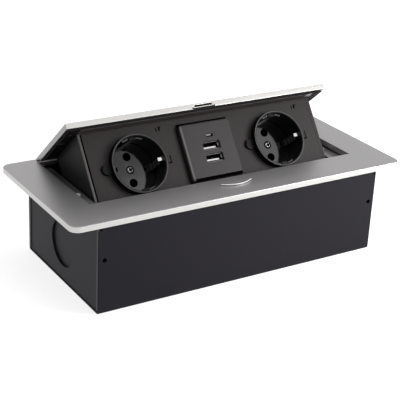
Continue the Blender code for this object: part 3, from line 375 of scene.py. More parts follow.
class Finish(Wiring):
    """A material in the making. Its patterns lie on the object's own axes."""

    def __init__(self, name):
        self.material = bpy.data.materials.new(name)
        self.material.use_nodes = True
        super().__init__(self.material.node_tree)
        self.shader = self.tree.nodes["Principled BSDF"]

    def place(self):
        return self.node("ShaderNodeTexCoord", {}, {}, "Object")

    def facing(self, direction):
        """How squarely a face looks in a direction, from -1 to 1."""
        sockets = {0: self.node("ShaderNodeTexCoord", {}, {}, "Normal"), 1: direction}
        return self.node("ShaderNodeVectorMath", {"operation": "DOT_PRODUCT"}, sockets, "Value")

    def noise(self, scale, detail=2.0, roughness=0.5):
        sockets = {"Vector": self.place(), "Scale": scale, "Detail": detail, "Roughness": roughness}
        return self.node("ShaderNodeTexNoise", {}, sockets)

    def stretched_noise(self, stretch, scale):
        mapped = self.node("ShaderNodeMapping", {}, {"Vector": self.place(), "Scale": stretch})
        return self.node("ShaderNodeTexNoise", {}, {"Vector": mapped, "Scale": scale, "Detail": 2.0})

    def blend(self, factor, first, second):
        """A colour between two colours, each written as three numbers or made by another node."""
        pair = [item if isinstance(item, Value) else (*item, 1.0) for item in (first, second)]
        return self.node("ShaderNodeMix", {"data_type": "RGBA"}, {0: factor, 6: pair[0], 7: pair[1]}, 2)

    def bump(self, height, depth, strength):
        return self.node("ShaderNodeBump", {}, {"Strength": strength, "Distance": depth, "Height": height})

    def set(self, **values):
        for name, value in values.items():
            self.feed(self.shader.inputs[name.replace("_", " ")], value)
        return self.material


def satin_aluminium(name, face_up, light, dark, edge, end, roughness):
    """Bead blasted and anodised faces with a fine even grain. Cut edges and sideways ends take colours of
    their own, which stand in for light: lighter ones as painted highlight, darker ones as painted shade.
    """
    finish = Finish(name)
    clouds = finish.noise(22.0, 3.0)
    grain = finish.noise(2600.0, 2.0)
    pits = finish.noise(900.0, 3.0)
    face = finish.blend(clouds * 0.5 + grain * 0.5, dark, light)
    rim = finish.blend(abs(finish.facing((1, 0, 0))) > SIDEWAYS_ABOVE, edge, end)
    cut_edge = abs(finish.facing(face_up)) < CUT_EDGE_BELOW
    return finish.set(
        Base_Color=finish.blend(cut_edge, face, rim),
        Metallic=0.95,
        Roughness=roughness + (grain - 0.5) * 0.14 + (clouds - 0.5) * 0.08 - cut_edge * 0.1,
        Normal=finish.bump(grain * 0.6 + pits * 0.4, 0.006 * MM, 0.5),
    )


def powder_coat(name, light, dark, roughness, gloss, side=None):
    """Fine matt powder on sheet steel: a slight orange peel, and a darker colour on the faces that look
    left or right, which is painted shade.
    """
    finish = Finish(name)
    peel = finish.noise(520.0, 2.0)
    grit = finish.noise(2300.0, 3.0, 0.6)
    clouds = finish.noise(14.0, 2.0)
    colour = finish.blend(clouds * 0.5 + grit * 0.5, dark, light)
    # Painted shade: the side colour darkens the faces that look left or right
    if side:
        colour = finish.blend(abs(finish.facing((1, 0, 0))) > SIDEWAYS_ABOVE, colour, side)
    return finish.set(
        Base_Color=colour,
        Metallic=0.0,
        Specular_IOR_Level=gloss,
        Roughness=roughness + (grit - 0.5) * 0.22,
        Normal=finish.bump(peel * 0.5 + grit * 0.5, 0.03 * MM, 0.5),
    )


def moulded_plastic(name, light, dark, roughness, gloss=0.4):
    """Spark eroded mould texture with slow changes of sheen."""
    finish = Finish(name)
    spark = finish.noise(3200.0, 2.0, 0.6)
    flow = finish.noise(60.0, 2.0)
    return finish.set(
        Base_Color=finish.blend(flow * 0.5 + spark * 0.5, dark, light),
        Metallic=0.0,
        Specular_IOR_Level=gloss,
        Roughness=roughness + (spark - 0.5) * 0.18 + (flow - 0.5) * 0.08,
        Normal=finish.bump(spark, 0.012 * MM, 0.35),
    )


def speckled_plastic(name, light, dark, roughness, gloss):
    """The sockets' inner faces: glossy, with a coarse spark texture that breaks up the reflection."""
    finish = Finish(name)
    spark = finish.noise(1200.0, 3.0, 0.65)
    fine = finish.noise(4200.0, 2.0, 0.6)
    flow = finish.noise(70.0, 2.0)
    return finish.set(
        Base_Color=finish.blend(spark * 0.7 + flow * 0.3, dark, light),
        Metallic=0.0,
        Specular_IOR_Level=gloss,
        Roughness=roughness + (spark - 0.5) * 0.08,
        Normal=finish.bump(spark * 0.6 + fine * 0.4, 0.035 * MM, 0.4),
    )


def drawn_metal(name, light, dark, roughness):
    """Sheet metal with the faint lines of drawing or rolling."""
    finish = Finish(name)
    lines = finish.stretched_noise((1.0, 0.06, 1.0), 3000.0)
    stain = finish.noise(180.0, 3.0)
    return finish.set(
        Base_Color=finish.blend(lines * 0.5 + stain * 0.5, dark, light),
        Metallic=1.0,
        Roughness=roughness + (lines - 0.5) * 0.2,
        Normal=finish.bump(lines, 0.004 * MM, 0.4),
    )


def soft_rubber(name, light, dark):
    """Dull rubber with a gritty skin."""
    finish = Finish(name)
    grit = finish.noise(2600.0, 3.0)
    return finish.set(
        Base_Color=finish.blend(grit, dark, light),
        Specular_IOR_Level=0.25,
        Roughness=0.78 + (grit - 0.5) * 0.2,
        Normal=finish.bump(grit, 0.02 * MM, 0.5),
    )


def circuit_lacquer(name):
    """Green solder mask with paler tracks."""
    finish = Finish(name)
    sockets = {"Vector": finish.place(), "Scale": 160.0, "Mortar Size": 0.06, "Bias": 0.0}
    tracks = finish.node("ShaderNodeTexBrick", {"offset": 0.5}, sockets, "Fac")
    return finish.set(
        Base_Color=finish.blend(tracks, (0.012, 0.11, 0.05), (0.05, 0.24, 0.11)),
        Roughness=0.36 + tracks * 0.1,
        Normal=finish.bump(tracks, 0.03 * MM, 0.6),
    )


def silver_finishes():
    """The frame, the lid, the button and the striker: one aluminium with edges of its own on each. The
    frame's and the lid's lighter edges are partly a polished cut and partly painted highlight. The lid's
    and the striker's darker sideways faces and the striker's near-black edges are painted shade.
    """
    level = (0.0, 0.0, 1.0)
    tilted = (0.0, math.sin(OPEN_TILT), math.cos(OPEN_TILT))
    silver = (0.40, 0.39, 0.395)
    shade = (0.32, 0.31, 0.315)
    # The frame's and the lid's lighter edge colours are partly a polished cut and partly painted highlight
    bright = (0.55, 0.545, 0.53)
    lid_rim = (0.60, 0.59, 0.575)
    # Painted shade: a darker colour for the lid's and the striker's faces that look sideways
    painted_side_shade = (0.31, 0.305, 0.31)
    plate = (0.56, 0.555, 0.54)
    # Painted shade: near black for the striker's edge faces, for the dark lines round it
    painted_edge_shade = (0.012, 0.011, 0.011)
    return {
        "frame_aluminium": satin_aluminium(
            "frame_satin_silver", level, silver, shade, edge=bright, end=bright, roughness=0.42),
        "lid_aluminium": satin_aluminium(
            "lid_satin_silver", tilted, silver, shade, edge=lid_rim, end=painted_side_shade, roughness=0.40),
        "button_silver": satin_aluminium(
            "button_satin_silver", level, silver, shade, edge=shade, end=shade, roughness=0.42),
        "striker_steel": satin_aluminium(
            "striker_satin_steel", level, plate, plate, edge=painted_edge_shade, end=painted_side_shade, roughness=0.40),
    }


def painted_finishes():
    """Powder coats. The box and the panel are darker on the faces to the left and right, as painted shade.
    """
    return {
        "box_black": powder_coat(
            "box_powder_black", (0.016, 0.014, 0.019), (0.009, 0.008, 0.012),
            roughness=0.50, gloss=0.15, side=(0.009, 0.007, 0.011)),
        "panel_black": powder_coat(
            "panel_powder_black", (0.024, 0.019, 0.019), (0.014, 0.011, 0.011),
            roughness=0.52, gloss=0.22, side=(0.006, 0.005, 0.005)),
        "ear_black": powder_coat(
            "socket_ear_black", (0.007, 0.007, 0.008), (0.003, 0.003, 0.004),
            roughness=0.50, gloss=0.12),
        "flange_black": powder_coat(
            "flange_powder_black", (0.010, 0.009, 0.010), (0.006, 0.005, 0.006),
            roughness=0.55, gloss=0.10),
        # Painted light: lighter than the panel's coat, to make up for the shade under the lid's front edge
        "head_painted_light": powder_coat(
            "head_strip_black", (0.052, 0.044, 0.043), (0.036, 0.030, 0.030),
            roughness=0.50, gloss=0.30),
        # A lighter black, painted highlight on the left wall's front edge
        "edge_black": powder_coat(
            "wall_edge_black", (0.075, 0.070, 0.070), (0.050, 0.046, 0.046),
            roughness=0.45, gloss=0.5),
        # Painted highlight: a lighter black for the lit vertical folds of the box
        "corner_painted_highlight": powder_coat(
            "box_corner_black", (0.030, 0.029, 0.032), (0.020, 0.019, 0.022),
            roughness=0.45, gloss=0.3),
        # Painted light: grey sheets on the ledges' black steel for the light they reflect, the right one
        # paler
        "ledge_painted_light_dim": powder_coat(
            "ledge_liner_grey", (0.16, 0.155, 0.155), (0.10, 0.095, 0.10),
            roughness=0.35, gloss=0.9),
        "ledge_painted_light_bright": powder_coat(
            "ledge_liner_pale", (0.34, 0.33, 0.33), (0.24, 0.23, 0.23),
            roughness=0.35, gloss=0.9),
        # Painted light: a pale patch for the light that falls under the lid's right corner
        "tab_painted_light": powder_coat(
            "head_tab_grey", (0.50, 0.49, 0.48), (0.40, 0.39, 0.385),
            roughness=0.45, gloss=0.5),
    }


def plastic_finishes():
    """Mouldings, rubber pads and the circuit board, with painted highlights for the collar's rims and the
    module's bevel, and a lightless black for painted shade.
    """
    return {
        "socket_black": moulded_plastic(
            "socket_moulded_black", (0.004, 0.004, 0.005), (0.002, 0.002, 0.003),
            roughness=0.30, gloss=0.10),
        "core_grey": speckled_plastic(
            "socket_face_black", (0.006, 0.006, 0.008), (0.002, 0.002, 0.003),
            roughness=0.05, gloss=0.55),
        "module_black": moulded_plastic(
            "module_moulded_black", (0.034, 0.029, 0.029), (0.022, 0.019, 0.019),
            roughness=0.46, gloss=0.28),
        "plastic_black": moulded_plastic(
            "inner_plastic_black", (0.005, 0.005, 0.006), (0.002, 0.002, 0.003),
            roughness=0.45, gloss=0.15),
        "plastic_white": moulded_plastic(
            "port_plastic_white", (0.86, 0.85, 0.83), (0.76, 0.75, 0.73), roughness=0.40),
        # Painted highlight: a lighter black for the collar's lit lip and steps
        "rim_painted_highlight": moulded_plastic(
            "collar_rim_black", (0.040, 0.038, 0.040), (0.026, 0.024, 0.025), roughness=0.40),
        # Painted shade: a lightless black for holes, slots, gaps, shadow lines and the shutters deep in
        # the pin holes
        "painted_shade_black": moulded_plastic(
            "slot_deep_black", (0.002, 0.002, 0.002), (0.001, 0.001, 0.001),
            roughness=0.80, gloss=0.0),
        # Painted highlight: a grey strip for the lit bevel at the module's left
        "bevel_painted_highlight": moulded_plastic(
            "module_bevel_grey", (0.10, 0.095, 0.095), (0.075, 0.070, 0.070), roughness=0.42),
        "port_grey": moulded_plastic(
            "port_tongue_grey", (0.27, 0.26, 0.255), (0.20, 0.19, 0.19), roughness=0.40),
        "pad_white": soft_rubber("stop_pad_white", (0.90, 0.89, 0.88), (0.80, 0.79, 0.78)),
        "rubber": soft_rubber("stop_rubber_grey", (0.34, 0.34, 0.35), (0.24, 0.24, 0.25)),
        "board_green": circuit_lacquer("board_solder_mask"),
    }


def metal_finishes():
    """Contacts, shells, springs, screws and straps. The straps' dark steel and the dark nickel are painted
    shade, and the near-white silver is painted highlight.
    """
    return {
        "brass": drawn_metal(
            "contact_brass", (0.80, 0.62, 0.33), (0.62, 0.45, 0.20), roughness=0.28),
        "bright_steel": drawn_metal(
            "bright_nickel_steel", (0.88, 0.87, 0.86), (0.72, 0.71, 0.70), roughness=0.22),
        # Painted shade: a dark nickel for port shells set back in the module's shade
        "dark_nickel": drawn_metal(
            "port_dark_nickel", (0.13, 0.13, 0.135), (0.07, 0.07, 0.075), roughness=0.34),
        "spring_steel": drawn_metal(
            "spring_wire_steel", (0.50, 0.50, 0.52), (0.34, 0.34, 0.36), roughness=0.30),
        "zinc_steel": drawn_metal(
            "zinc_plated_steel", (0.66, 0.66, 0.68), (0.48, 0.48, 0.51), roughness=0.34),
        "screw_steel": drawn_metal(
            "screw_head_steel", (0.50, 0.49, 0.48), (0.34, 0.33, 0.32), roughness=0.34),
        # Painted shade: a dark steel for the earth straps, which lie in the shade of the recess
        "strap_steel": drawn_metal(
            "strap_shaded_steel", (0.20, 0.20, 0.20), (0.12, 0.12, 0.12), roughness=0.30),
        # Painted highlight: a near-white silver for the glints on the rim behind the lid and on the
        # button's arc
        "silver_painted_glint": drawn_metal(
            "rim_rough_silver", (0.95, 0.94, 0.93), (0.88, 0.87, 0.86), roughness=0.70),
    }


def make_finishes():
    """One finish for each material slot of the record, and those of the details."""
    return {**silver_finishes(), **painted_finishes(), **plastic_finishes(), **metal_finishes()}


def select_only(*pieces):
    ops.object.select_all(action="DESELECT")
    for piece in pieces:
        piece.select_set(True)
    bpy.context.view_layer.objects.active = pieces[-1]


def round_and_shade(piece, edge):
    """Round the sharp edges, smooth the round faces and keep the flat ones flat."""
    select_only(piece)
    if edge:
        bevel = piece.modifiers.new("soft_edges", "BEVEL")
        bevel.width = edge
        bevel.segments = 2
        bevel.limit_method = "ANGLE"
        bevel.angle_limit = SHARP_TURN
        bevel.miter_outer = "MITER_ARC"
        ops.object.modifier_apply(modifier=bevel.name)
    ops.object.shade_smooth_by_angle(angle=SMOOTH_TURN if edge else SHARP_TURN)
    weigh = piece.modifiers.new("flat_faces", "WEIGHTED_NORMAL")
    weigh.keep_sharp = True
    ops.object.modifier_apply(modifier=weigh.name)


def body_of(node):
    for body, members in frame["record"]["behaviour"]["bodies"].items():
        if node in members:
            return body


def slot_of(node):
    for part in frame["record"]["subparts"]:
        if part["node"] == node:
            return part["material_slot"]


def softened(node, edge):
    """A copy of a solid, merged, with its sharp edges rounded a little."""
    source = frame["nodes"][node]
    piece = source.copy()
    piece.data = source.data.copy()
    for key in list(piece.keys()):
        if key.startswith("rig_"):
            del piece[key]
    piece.name = f"{node}_finished"
    piece.parent = None
    bpy.context.scene.collection.objects.link(piece)
    select_only(piece)
    ops.object.mode_set(mode="EDIT")
    ops.mesh.select_all(action="SELECT")
    ops.mesh.remove_doubles(threshold=DOUBLES_APART)
    ops.object.mode_set(mode="OBJECT")
    round_and_shade(piece, edge)
    # The torsion springs ride on no body
    if not node.startswith("torsion_spring"):
        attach(piece, body_of(node))
    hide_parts(node)
    return piece


def finish_solids(finishes):
    """Carry every solid over as a finished copy, and give the hidden originals the same finish."""
    for node, solid in frame["nodes"].items():
        slot = slot_of(node)
        piece = softened(node, SOFT_EDGES.get(node, 0.0))
        for item in (solid, piece):
            for index in range(len(item.material_slots)):
                item.material_slots[index].material = finishes[OWN_FINISHES.get(node, slot)]


def panel_place(x, down, out=0.0):
    """From a feature's own axes (right, up the panel, out of the panel) to the raised cradle."""
    turn = Matrix.Rotation(PANEL_TURN, 4, "X")
    edge = Matrix.Translation((x, PANEL_EDGE_Y, PANEL_EDGE_Z))
    return edge @ turn @ Matrix.Translation((0.0, -down, out))


def mirrored(place, side):
    """A place on the right, or its mirror image on the left."""
    x, y, z = place
    return (side * x, y, z)


def begin(name, add, **settings):
    """Add a primitive with nothing else selected."""
    ops.object.select_all(action="DESELECT")
    add(**settings)
    piece = bpy.context.active_object
    piece.name = name
    ops.object.transform_apply(location=True, rotation=True, scale=True)
    return piece


def pick(piece, chosen):
    """Leave the piece in edit mode with only the faces selected whose centre passes."""
    select_only(piece)
    ops.object.mode_set(mode="EDIT")
    ops.mesh.select_mode(type="FACE")
    ops.mesh.select_all(action="DESELECT")
    ops.object.mode_set(mode="OBJECT")
    for face in piece.data.polygons:
        face.select = chosen(face.center)
    ops.object.mode_set(mode="EDIT")


def ring(name, radii, low, high, edge, sides):
    """A flat ring about the feature's own axis, from its inner to its outer radius."""
    inner, outer = radii
    middle = (0, 0, (low + high) / 2)
    piece = begin(name, ops.mesh.primitive_circle_add, vertices=sides, radius=inner, location=middle)
    ops.object.mode_set(mode="EDIT")
    ops.mesh.select_mode(type="EDGE")
    ops.mesh.select_all(action="SELECT")
    ops.mesh.extrude_edges_move()
    ops.transform.resize(value=(outer / inner, outer / inner, 1.0), center_override=middle)
    ops.mesh.select_all(action="SELECT")
    ops.mesh.normals_make_consistent(inside=False)
    ops.object.mode_set(mode="OBJECT")
    thick = piece.modifiers.new("thickness", "SOLIDIFY")
    thick.thickness = high - low
    thick.offset = 0.0
    ops.object.modifier_apply(modifier=thick.name)
    round_and_shade(piece, edge)
    return piece


def bar(name, size, middle, edge, turn=0.0):
    """A small block with rounded edges, turned about the feature's own axis."""
    add = ops.mesh.primitive_cube_add
    piece = begin(name, add, size=1.0, location=middle, rotation=(0, 0, turn), scale=size)
    round_and_shade(piece, edge)
    return piece


def joined(name, pieces):
    """Several small shapes of one finish as one piece."""
    select_only(*pieces)
    ops.object.join()
    piece = bpy.context.active_object
    piece.name = name
    return piece


def settle(piece, place, body, finish):
    """Put a finished piece at its place in its mesh, on its body and in its finish."""
    select_only(piece)
    piece.matrix_world = place
    ops.object.transform_apply(location=True, rotation=True, scale=True)
    piece.data.materials.clear()
    piece.data.materials.append(finish)
    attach(piece, body)
    return piece


def copied(piece, name, move):
    """A copy with its own mesh, and moved within that mesh."""
    other = piece.copy()
    other.data = piece.data.copy()
    other.name = name
    other.data.transform(Matrix.Translation(move))
    bpy.context.scene.collection.objects.link(other)
    return other


def collar_lip():
    """The narrow lip on the collar's face, in a lighter black that is painted highlight."""
    radii = (RECESS_RADIUS + LIP_FROM_RECESS, COLLAR_RADIUS - LIP_FROM_COLLAR_EDGE)
    low, high = COLLAR_OUT - LIP_SUNK, COLLAR_OUT + LIP_PROUD
    return ring("collar_lip", radii, low, high, STEP_EDGE, LIP_SIDES)


def pin_wells():
    """Painted shade round the two pin holes: lightless black rings."""
    low, high = RECESS_FLOOR_OUT - WELL_SUNK, RECESS_FLOOR_OUT + WELL_PROUD
    wells = []
    for up in (-PIN_UP, PIN_UP):
        well = ring("pin_well", WELL_RADII, low, high, RIM_EDGE, SMALL_RING_SIDES)
        well.data.transform(Matrix.Translation((0.0, up, 0.0)))
        wells.append(well)
    return joined("pin_wells", wells)


def screw_seat():
    """Painted shade round the centre screw: the lightless black ring in which it sits."""
    low, high = RECESS_FLOOR_OUT - SEAT_SUNK, RECESS_FLOOR_OUT + SEAT_PROUD
    return ring("screw_seat", SEAT_RADII, low, high, RIM_EDGE, SMALL_RING_SIDES)


def floor_slots():
    """Painted shade of two moulding slots beside the pin holes: lightless black bars."""
    slots = []
    for x, up in FLOOR_SLOT_PLACES:
        slots.append(bar("floor_slot", FLOOR_SLOT_SIZE, (x, up, RECESS_FLOOR_OUT), SLOT_EDGE))
    return joined("floor_slots", slots)


def screw_cross():
    """The cross in the screw's head, as lightless black bars of painted shade."""
    middle = (0.0, 0.0, SCREW_TOP_OUT)
    slots = []
    for turn in CROSS_TURNS:
        slots.append(bar("cross_slot", CROSS_SLOT_SIZE, middle, LINER_EDGE, math.radians(turn)))
    return joined("screw_cross", slots)


def earth_tip():
    """The bent end of the earth strap, at the recess's rim."""
    tip = bar("earth_tip", EARTH_TIP_SIZE, (0.0, 0.0, 0.0), STEP_EDGE)
    lean = Matrix.Rotation(EARTH_TIP_LEAN, 4, "Y")
    tip.data.transform(Matrix.Translation(EARTH_TIP_PLACE) @ lean)
    return tip


def ear_cap():
    """The round black cap on the ear beside the collar."""
    return bar("ear_cap", EAR_CAP_SIZE, EAR_CAP_MIDDLE, EAR_CAP_ROUNDING)


def rim_steps():
    """Four short steps in the recess's wall, two above and two below, in a lighter black that is painted
    highlight.
    """
    steps = []
    for up in (-1, 1):
        for side in (-1, 1):
            angle = math.radians(up * (90.0 - side * RIM_STEP_FROM_UPRIGHT))
            x, y = RIM_STEP_RADIUS * math.cos(angle), RIM_STEP_RADIUS * math.sin(angle)
            turn = angle + math.pi / 2
            steps.append(bar("rim_step", RIM_STEP_SIZE, (x, y, RIM_STEP_OUT), STEP_EDGE, turn))
    return joined("rim_steps", steps)


def panel_slots():
    """The small slots pressed in the panel beside the collar, as lightless black marks of painted shade.
    """
    return joined("panel_slots", [bar("mark", size, middle, MARK_EDGE) for size, middle in PANEL_MARKS])


# A socket's pieces, each with its slot in the record and its finish
SOCKET_PIECES = (
    (collar_lip, "socket_black", "rim_painted_highlight"),
    (pin_wells, "socket_black", "painted_shade_black"),
    (screw_seat, "socket_black", "painted_shade_black"),
    (floor_slots, "socket_black", "painted_shade_black"),
    (screw_cross, "bright_steel", "painted_shade_black"),
    (earth_tip, "bright_steel", "bright_steel"),
    (ear_cap, "socket_black", "ear_black"),
    (rim_steps, "socket_black", "rim_painted_highlight"),
    (panel_slots, "panel_black", "painted_shade_black"),
)


def make_socket_details(finishes):
    """Rims, wells, slots and marks, mostly painted highlight and painted shade, made once for the left
    socket and copied to the right one.
    """
    place = panel_place(-SOCKET_X, SOCKET_DOWN)
    made = []
    for shape, slot, finish in SOCKET_PIECES:
        made.append(settle(shape(), place, "cradle", finishes[finish]))
    for piece in made:
        name = piece.name
        piece.name = f"{name}_left"
        twin = copied(piece, f"{name}_right", (2 * SOCKET_X, 0.0, 0.0))
        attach(twin, "cradle")


def make_flat_port(number, place, finishes):
    """Contact strips on the tongue, painted shade below and beside it, and spring fingers at its sides."""
    strips = []
    for k in range(CONTACTS):
        spot = ((k - (CONTACTS - 1) / 2) * CONTACT_PITCH, CONTACT_UP, CONTACT_OUT)
        strips.append(bar("strip", CONTACT_SIZE, spot, LEAF_EDGE))
    settle(joined(f"usb_a_contacts_{number}", strips), place, "cradle", finishes["brass"])
    shades = [bar("shade", size, middle, LEAF_EDGE) for size, middle in PORT_SHADES]
    shade = joined(f"usb_a_shade_{number}", shades)
    settle(shade, place, "cradle", finishes["painted_shade_black"])
    fingers = [bar("finger", FINGER_SIZE, spot, RIM_EDGE, turn) for spot, turn in FINGER_PLACES]
    finger = joined(f"usb_a_fingers_{number}", fingers)
    settle(finger, place, "cradle", finishes["bright_steel"])


def make_round_port(place, finishes):
    """The rounded port's plates, and the bezel that narrows its mouth."""
    plates = bar("usb_c_plates", USB_C_PLATE_SIZE, USB_C_PLATE_MIDDLE, FOLD_EDGE)
    settle(plates, place, "cradle", finishes["port_grey"])
    bezel = ring("usb_c_bezel", BEZEL_RADII, BEZEL_SUNK, BEZEL_PROUD, MARK_EDGE, SMALL_RING_SIDES)
    bezel.data.transform(Matrix.Rotation(math.pi / SMALL_RING_SIDES, 4, "Z"))
    for side in (-1, 1):
        pick(bezel, lambda centre: centre.x * side > BEZEL_SPLIT)
        ops.transform.translate(value=(side * BEZEL_HALF_STRAIGHT, 0.0, 0.0))
        ops.object.mode_set(mode="OBJECT")
    bezel.data.transform(Matrix.Translation(BEZEL_PLACE))
    settle(bezel, place, "cradle", finishes["module_black"])


def make_ports(finishes):
    """What shows in the module's three ports."""
    for number, (x, down) in enumerate(USB_A_PLACES, 1):
        make_flat_port(number, panel_place(x, down, MODULE_FACE_OUT), finishes)
    x, down = USB_C_PLACE
    make_round_port(panel_place(x, down, MODULE_FACE_OUT), finishes)


def make_module_rims(finishes):
    """The module's painted shadow lines above, right and below, and a painted highlight on the bevel at
    its left.
    """
    place = panel_place(0.0, MODULE_DOWN)
    lines = [bar("line", size, middle, edge) for size, middle, edge in MODULE_SHADOWS]
    line = joined("module_shadow_lines", lines)
    settle(line, place, "cradle", finishes["painted_shade_black"])
    bevel = bar("module_bevel", MODULE_BEVEL_SIZE, MODULE_BEVEL_MIDDLE, LINER_EDGE)
    settle(bevel, place, "cradle", finishes["bevel_painted_highlight"])


def make_wall_edges(finishes):
    """The front edges of the cradle's walls, the left one's lighter black a painted highlight, and the
    groove beside it, a line of painted shade.
    """
    for hand, side in SIDES.items():
        (wide, proud, rounding), tone = WALL_EDGES[hand]
        size = (wide, WALL_EDGE_LONG, 2 * proud)
        edge = bar(f"wall_edge_{hand}", size, WALL_EDGE_MIDDLE, rounding)
        place = panel_place(side * (WALL_OUTSIDE - wide / 2), 0.0)
        settle(edge, place, "cradle", finishes[tone])
    groove = bar("wall_groove", WALL_GROOVE_SIZE, WALL_GROOVE_MIDDLE, MARK_EDGE)
    settle(groove, panel_place(WALL_GROOVE_X, 0.0), "cradle", finishes["painted_shade_black"])


def make_box_trims(finishes):
    """The ledges' grey sheets, painted light, and their kerbs; the box's folded corners with painted
    highlights; and the lit rim behind the lid, a painted highlight.
    """
    as_made = Matrix.Identity(4)
    for hand, side in SIDES.items():
        liner = bar(f"ledge_liner_{hand}", LINER_SIZE, mirrored(LINER_MIDDLE, side), LINER_EDGE)
        settle(liner, as_made, "box", finishes[LEDGE_PAINTED_LIGHTS[hand]])
        kerb = bar(f"ledge_kerb_{hand}", KERB_SIZE, mirrored(KERB_MIDDLE, side), STRIP_EDGE)
        settle(kerb, as_made, "box", finishes["edge_black"])
        for end, middle in CORNER_MIDDLES.items():
            strip = bar(f"box_corner_{end}_{hand}", CORNER_SIZE, mirrored(middle, side), FOLD_EDGE)
            settle(strip, as_made, "box", finishes["corner_painted_highlight"])
    # Painted highlight: a near-white strip for the glint on the opening's rear edge
    rear = bar("opening_rear_rim", REAR_RIM_SIZE, REAR_RIM_MIDDLE, RIM_EDGE)
    settle(rear, as_made, "box", finishes["silver_painted_glint"])


def make_lid_trims(finishes):
    """The strip behind the lid's front edge, over the panel, lighter than the panel as painted light; a
    pale tab, painted light; and the dark mouth of the bolt's slit, painted shade.
    """
    closed = Matrix.Translation((0.0, PIVOT_Y, PIVOT_Z)) @ Matrix.Rotation(-OPEN_TILT, 4, "X")
    place = closed @ Matrix.Translation((0.0, -PIVOT_Y, -PIVOT_Z))
    head = bar("head_strip", HEAD_STRIP_SIZE, HEAD_STRIP_MIDDLE, STRIP_EDGE)
    settle(head, place, "cradle", finishes["head_painted_light"])
    tab = bar("head_tab", HEAD_TAB_SIZE, HEAD_TAB_MIDDLE, LEAF_EDGE)
    settle(tab, place, "cradle", finishes["tab_painted_light"])
    # Painted shade: a lightless black bar in the mouth of the slit
    mouth = bar("slit_mouth", SLIT_MOUTH_SIZE, SLIT_MOUTH_MIDDLE, MARK_EDGE)
    settle(mouth, place, "cradle", finishes["painted_shade_black"])


def make_button_arc(finishes):
    """Painted highlight on the upper edge of the push button's curved front: a thin band of near-white
    silver.
    """
    radii = (BUTTON_ARC_RADIUS - BUTTON_ARC_INSIDE, BUTTON_ARC_RADIUS + BUTTON_ARC_OUTSIDE)
    arc = ring("button_arc", radii, 0.0, BUTTON_ARC_HEIGHT, LEAF_EDGE, BUTTON_ARC_SIDES)
    arc.data.transform(Matrix.Translation((0.0, BUTTON_ARC_Y, BUTTON_TOP - BUTTON_ARC_DOWN)))
    pick(arc, lambda centre: centre.y > BUTTON_CHORD_Y - BUTTON_ARC_CUT)
    ops.mesh.delete(type="FACE")
    ops.object.mode_set(mode="OBJECT")
    settle(arc, Matrix.Identity(4), "button", finishes["silver_painted_glint"])


def make_springs_follow():
    """The latch's springs and the bolt's spring get meshes of their own, and the torsion springs have
    their place baked into their meshes.
    """
    for node, joint, axis in (
        ("button_spring_left", "button_press", (0, 0, 1)),
        ("button_spring_right", "button_press", (0, 0, 1)),
        ("bolt_spring", "bolt_slide", (0, 1, 0)),
    ):
        piece = bpy.data.objects[f"{node}_finished"]
        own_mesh(piece)
    for hand, side in SIDES.items():
        piece = bpy.data.objects[f"torsion_spring_{hand}_finished"]
        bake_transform(piece)


def make_camera():
    """The camera of the photograph, fitted to the object's edges."""
    flat = math.cos(VIEW_ELEVATION)
    east, north = math.sin(VIEW_AZIMUTH), -math.cos(VIEW_AZIMUTH)
    back = Vector((flat * east, flat * north, math.sin(VIEW_ELEVATION)))
    level_right = Vector((-north, east, 0.0))
    level_up = back.cross(level_right)
    right = math.cos(VIEW_ROLL) * level_right + math.sin(VIEW_ROLL) * level_up
    up = math.cos(VIEW_ROLL) * level_up - math.sin(VIEW_ROLL) * level_right
    spot = back * VIEW_DISTANCE + level_right * VIEW_SHIFT_RIGHT + level_up * VIEW_SHIFT_UP
    turn = Matrix((right, up, back)).transposed().to_4x4()
    lens = bpy.data.cameras.new("photograph_camera")
    lens.sensor_width = SENSOR
    lens.lens = FOCAL_IN_PIXELS / PHOTO_WIDTH * SENSOR
    lens.clip_start = 0.01
    lens.clip_end = 20.0
    camera = bpy.data.objects.new("photograph_camera", lens)
    bpy.context.scene.collection.objects.link(camera)
    camera.matrix_world = Matrix.Translation(spot + Vector((0.0, 0.0, FRAME_TOP))) @ turn
    bpy.context.scene.camera = camera


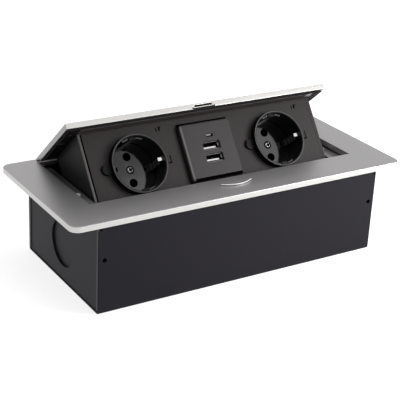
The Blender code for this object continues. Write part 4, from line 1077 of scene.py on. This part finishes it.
def make_lights():
    """Soft boxes: rectangular lamps that face the object."""
    for name, (spot, size, power) in SOFT_BOXES.items():
        lamp = bpy.data.lights.new(name, "AREA")
        lamp.shape = "RECTANGLE"
        lamp.size, lamp.size_y = size
        lamp.energy = power
        holder = bpy.data.objects.new(name, lamp)
        bpy.context.scene.collection.objects.link(holder)
        holder.location = spot
        holder.rotation_euler = (Vector(LAMP_AIM) - Vector(spot)).to_track_quat("-Z", "Y").to_euler()


def backdrop_share(wiring):
    """1 for the rays that should see the pale backdrop: camera, glossy and transmitted ones."""
    share, *others = [wiring.node("ShaderNodeLightPath", {}, {}, ray) for ray in BACKDROP_RAYS]
    for other in others:
        share = wiring.math("MAXIMUM", share, other)
    return share


def make_world():
    """An even grey room for light, and a white one for what the camera and bare metal see."""
    world = bpy.data.worlds.new("studio_room")
    bpy.context.scene.world = world
    world.use_nodes = True
    wiring = Wiring(world.node_tree)
    wiring.tree.nodes.clear()
    lit = wiring.node("ShaderNodeBackground", {}, {"Color": ROOM_LIGHT, "Strength": ROOM_STRENGTH})
    seen = wiring.node("ShaderNodeBackground", {}, {"Color": WHITE, "Strength": 1.0})
    mix = wiring.node("ShaderNodeMixShader", {}, {"Fac": backdrop_share(wiring), 1: lit, 2: seen})
    wiring.node("ShaderNodeOutputWorld", {}, {"Surface": mix})


def make_floor():
    """A pale floor that keeps the object's soft shadow and meets the white room unseen."""
    add = ops.mesh.primitive_plane_add
    floor = begin("studio_floor", add, size=FLOOR_WIDTH, location=(0.0, 0.0, FLOOR_Z))
    finish = Finish("floor_white")
    floor.data.materials.append(finish.set(
        Base_Color=FLOOR_GREY,
        Roughness=FLOOR_ROUGHNESS,
        Specular_IOR_Level=0.0,
        Emission_Color=WHITE,
        Emission_Strength=backdrop_share(finish) * FLOOR_GLOW,
    ))


bpy.context.scene.view_settings.view_transform = "Standard"
make_world()
make_floor()
make_lights()
make_camera()
finishes = make_finishes()
finish_solids(finishes)
make_socket_details(finishes)
make_ports(finishes)
make_wall_edges(finishes)
make_box_trims(finishes)
make_lid_trims(finishes)
make_module_rims(finishes)
make_button_arc(finishes)
make_springs_follow()
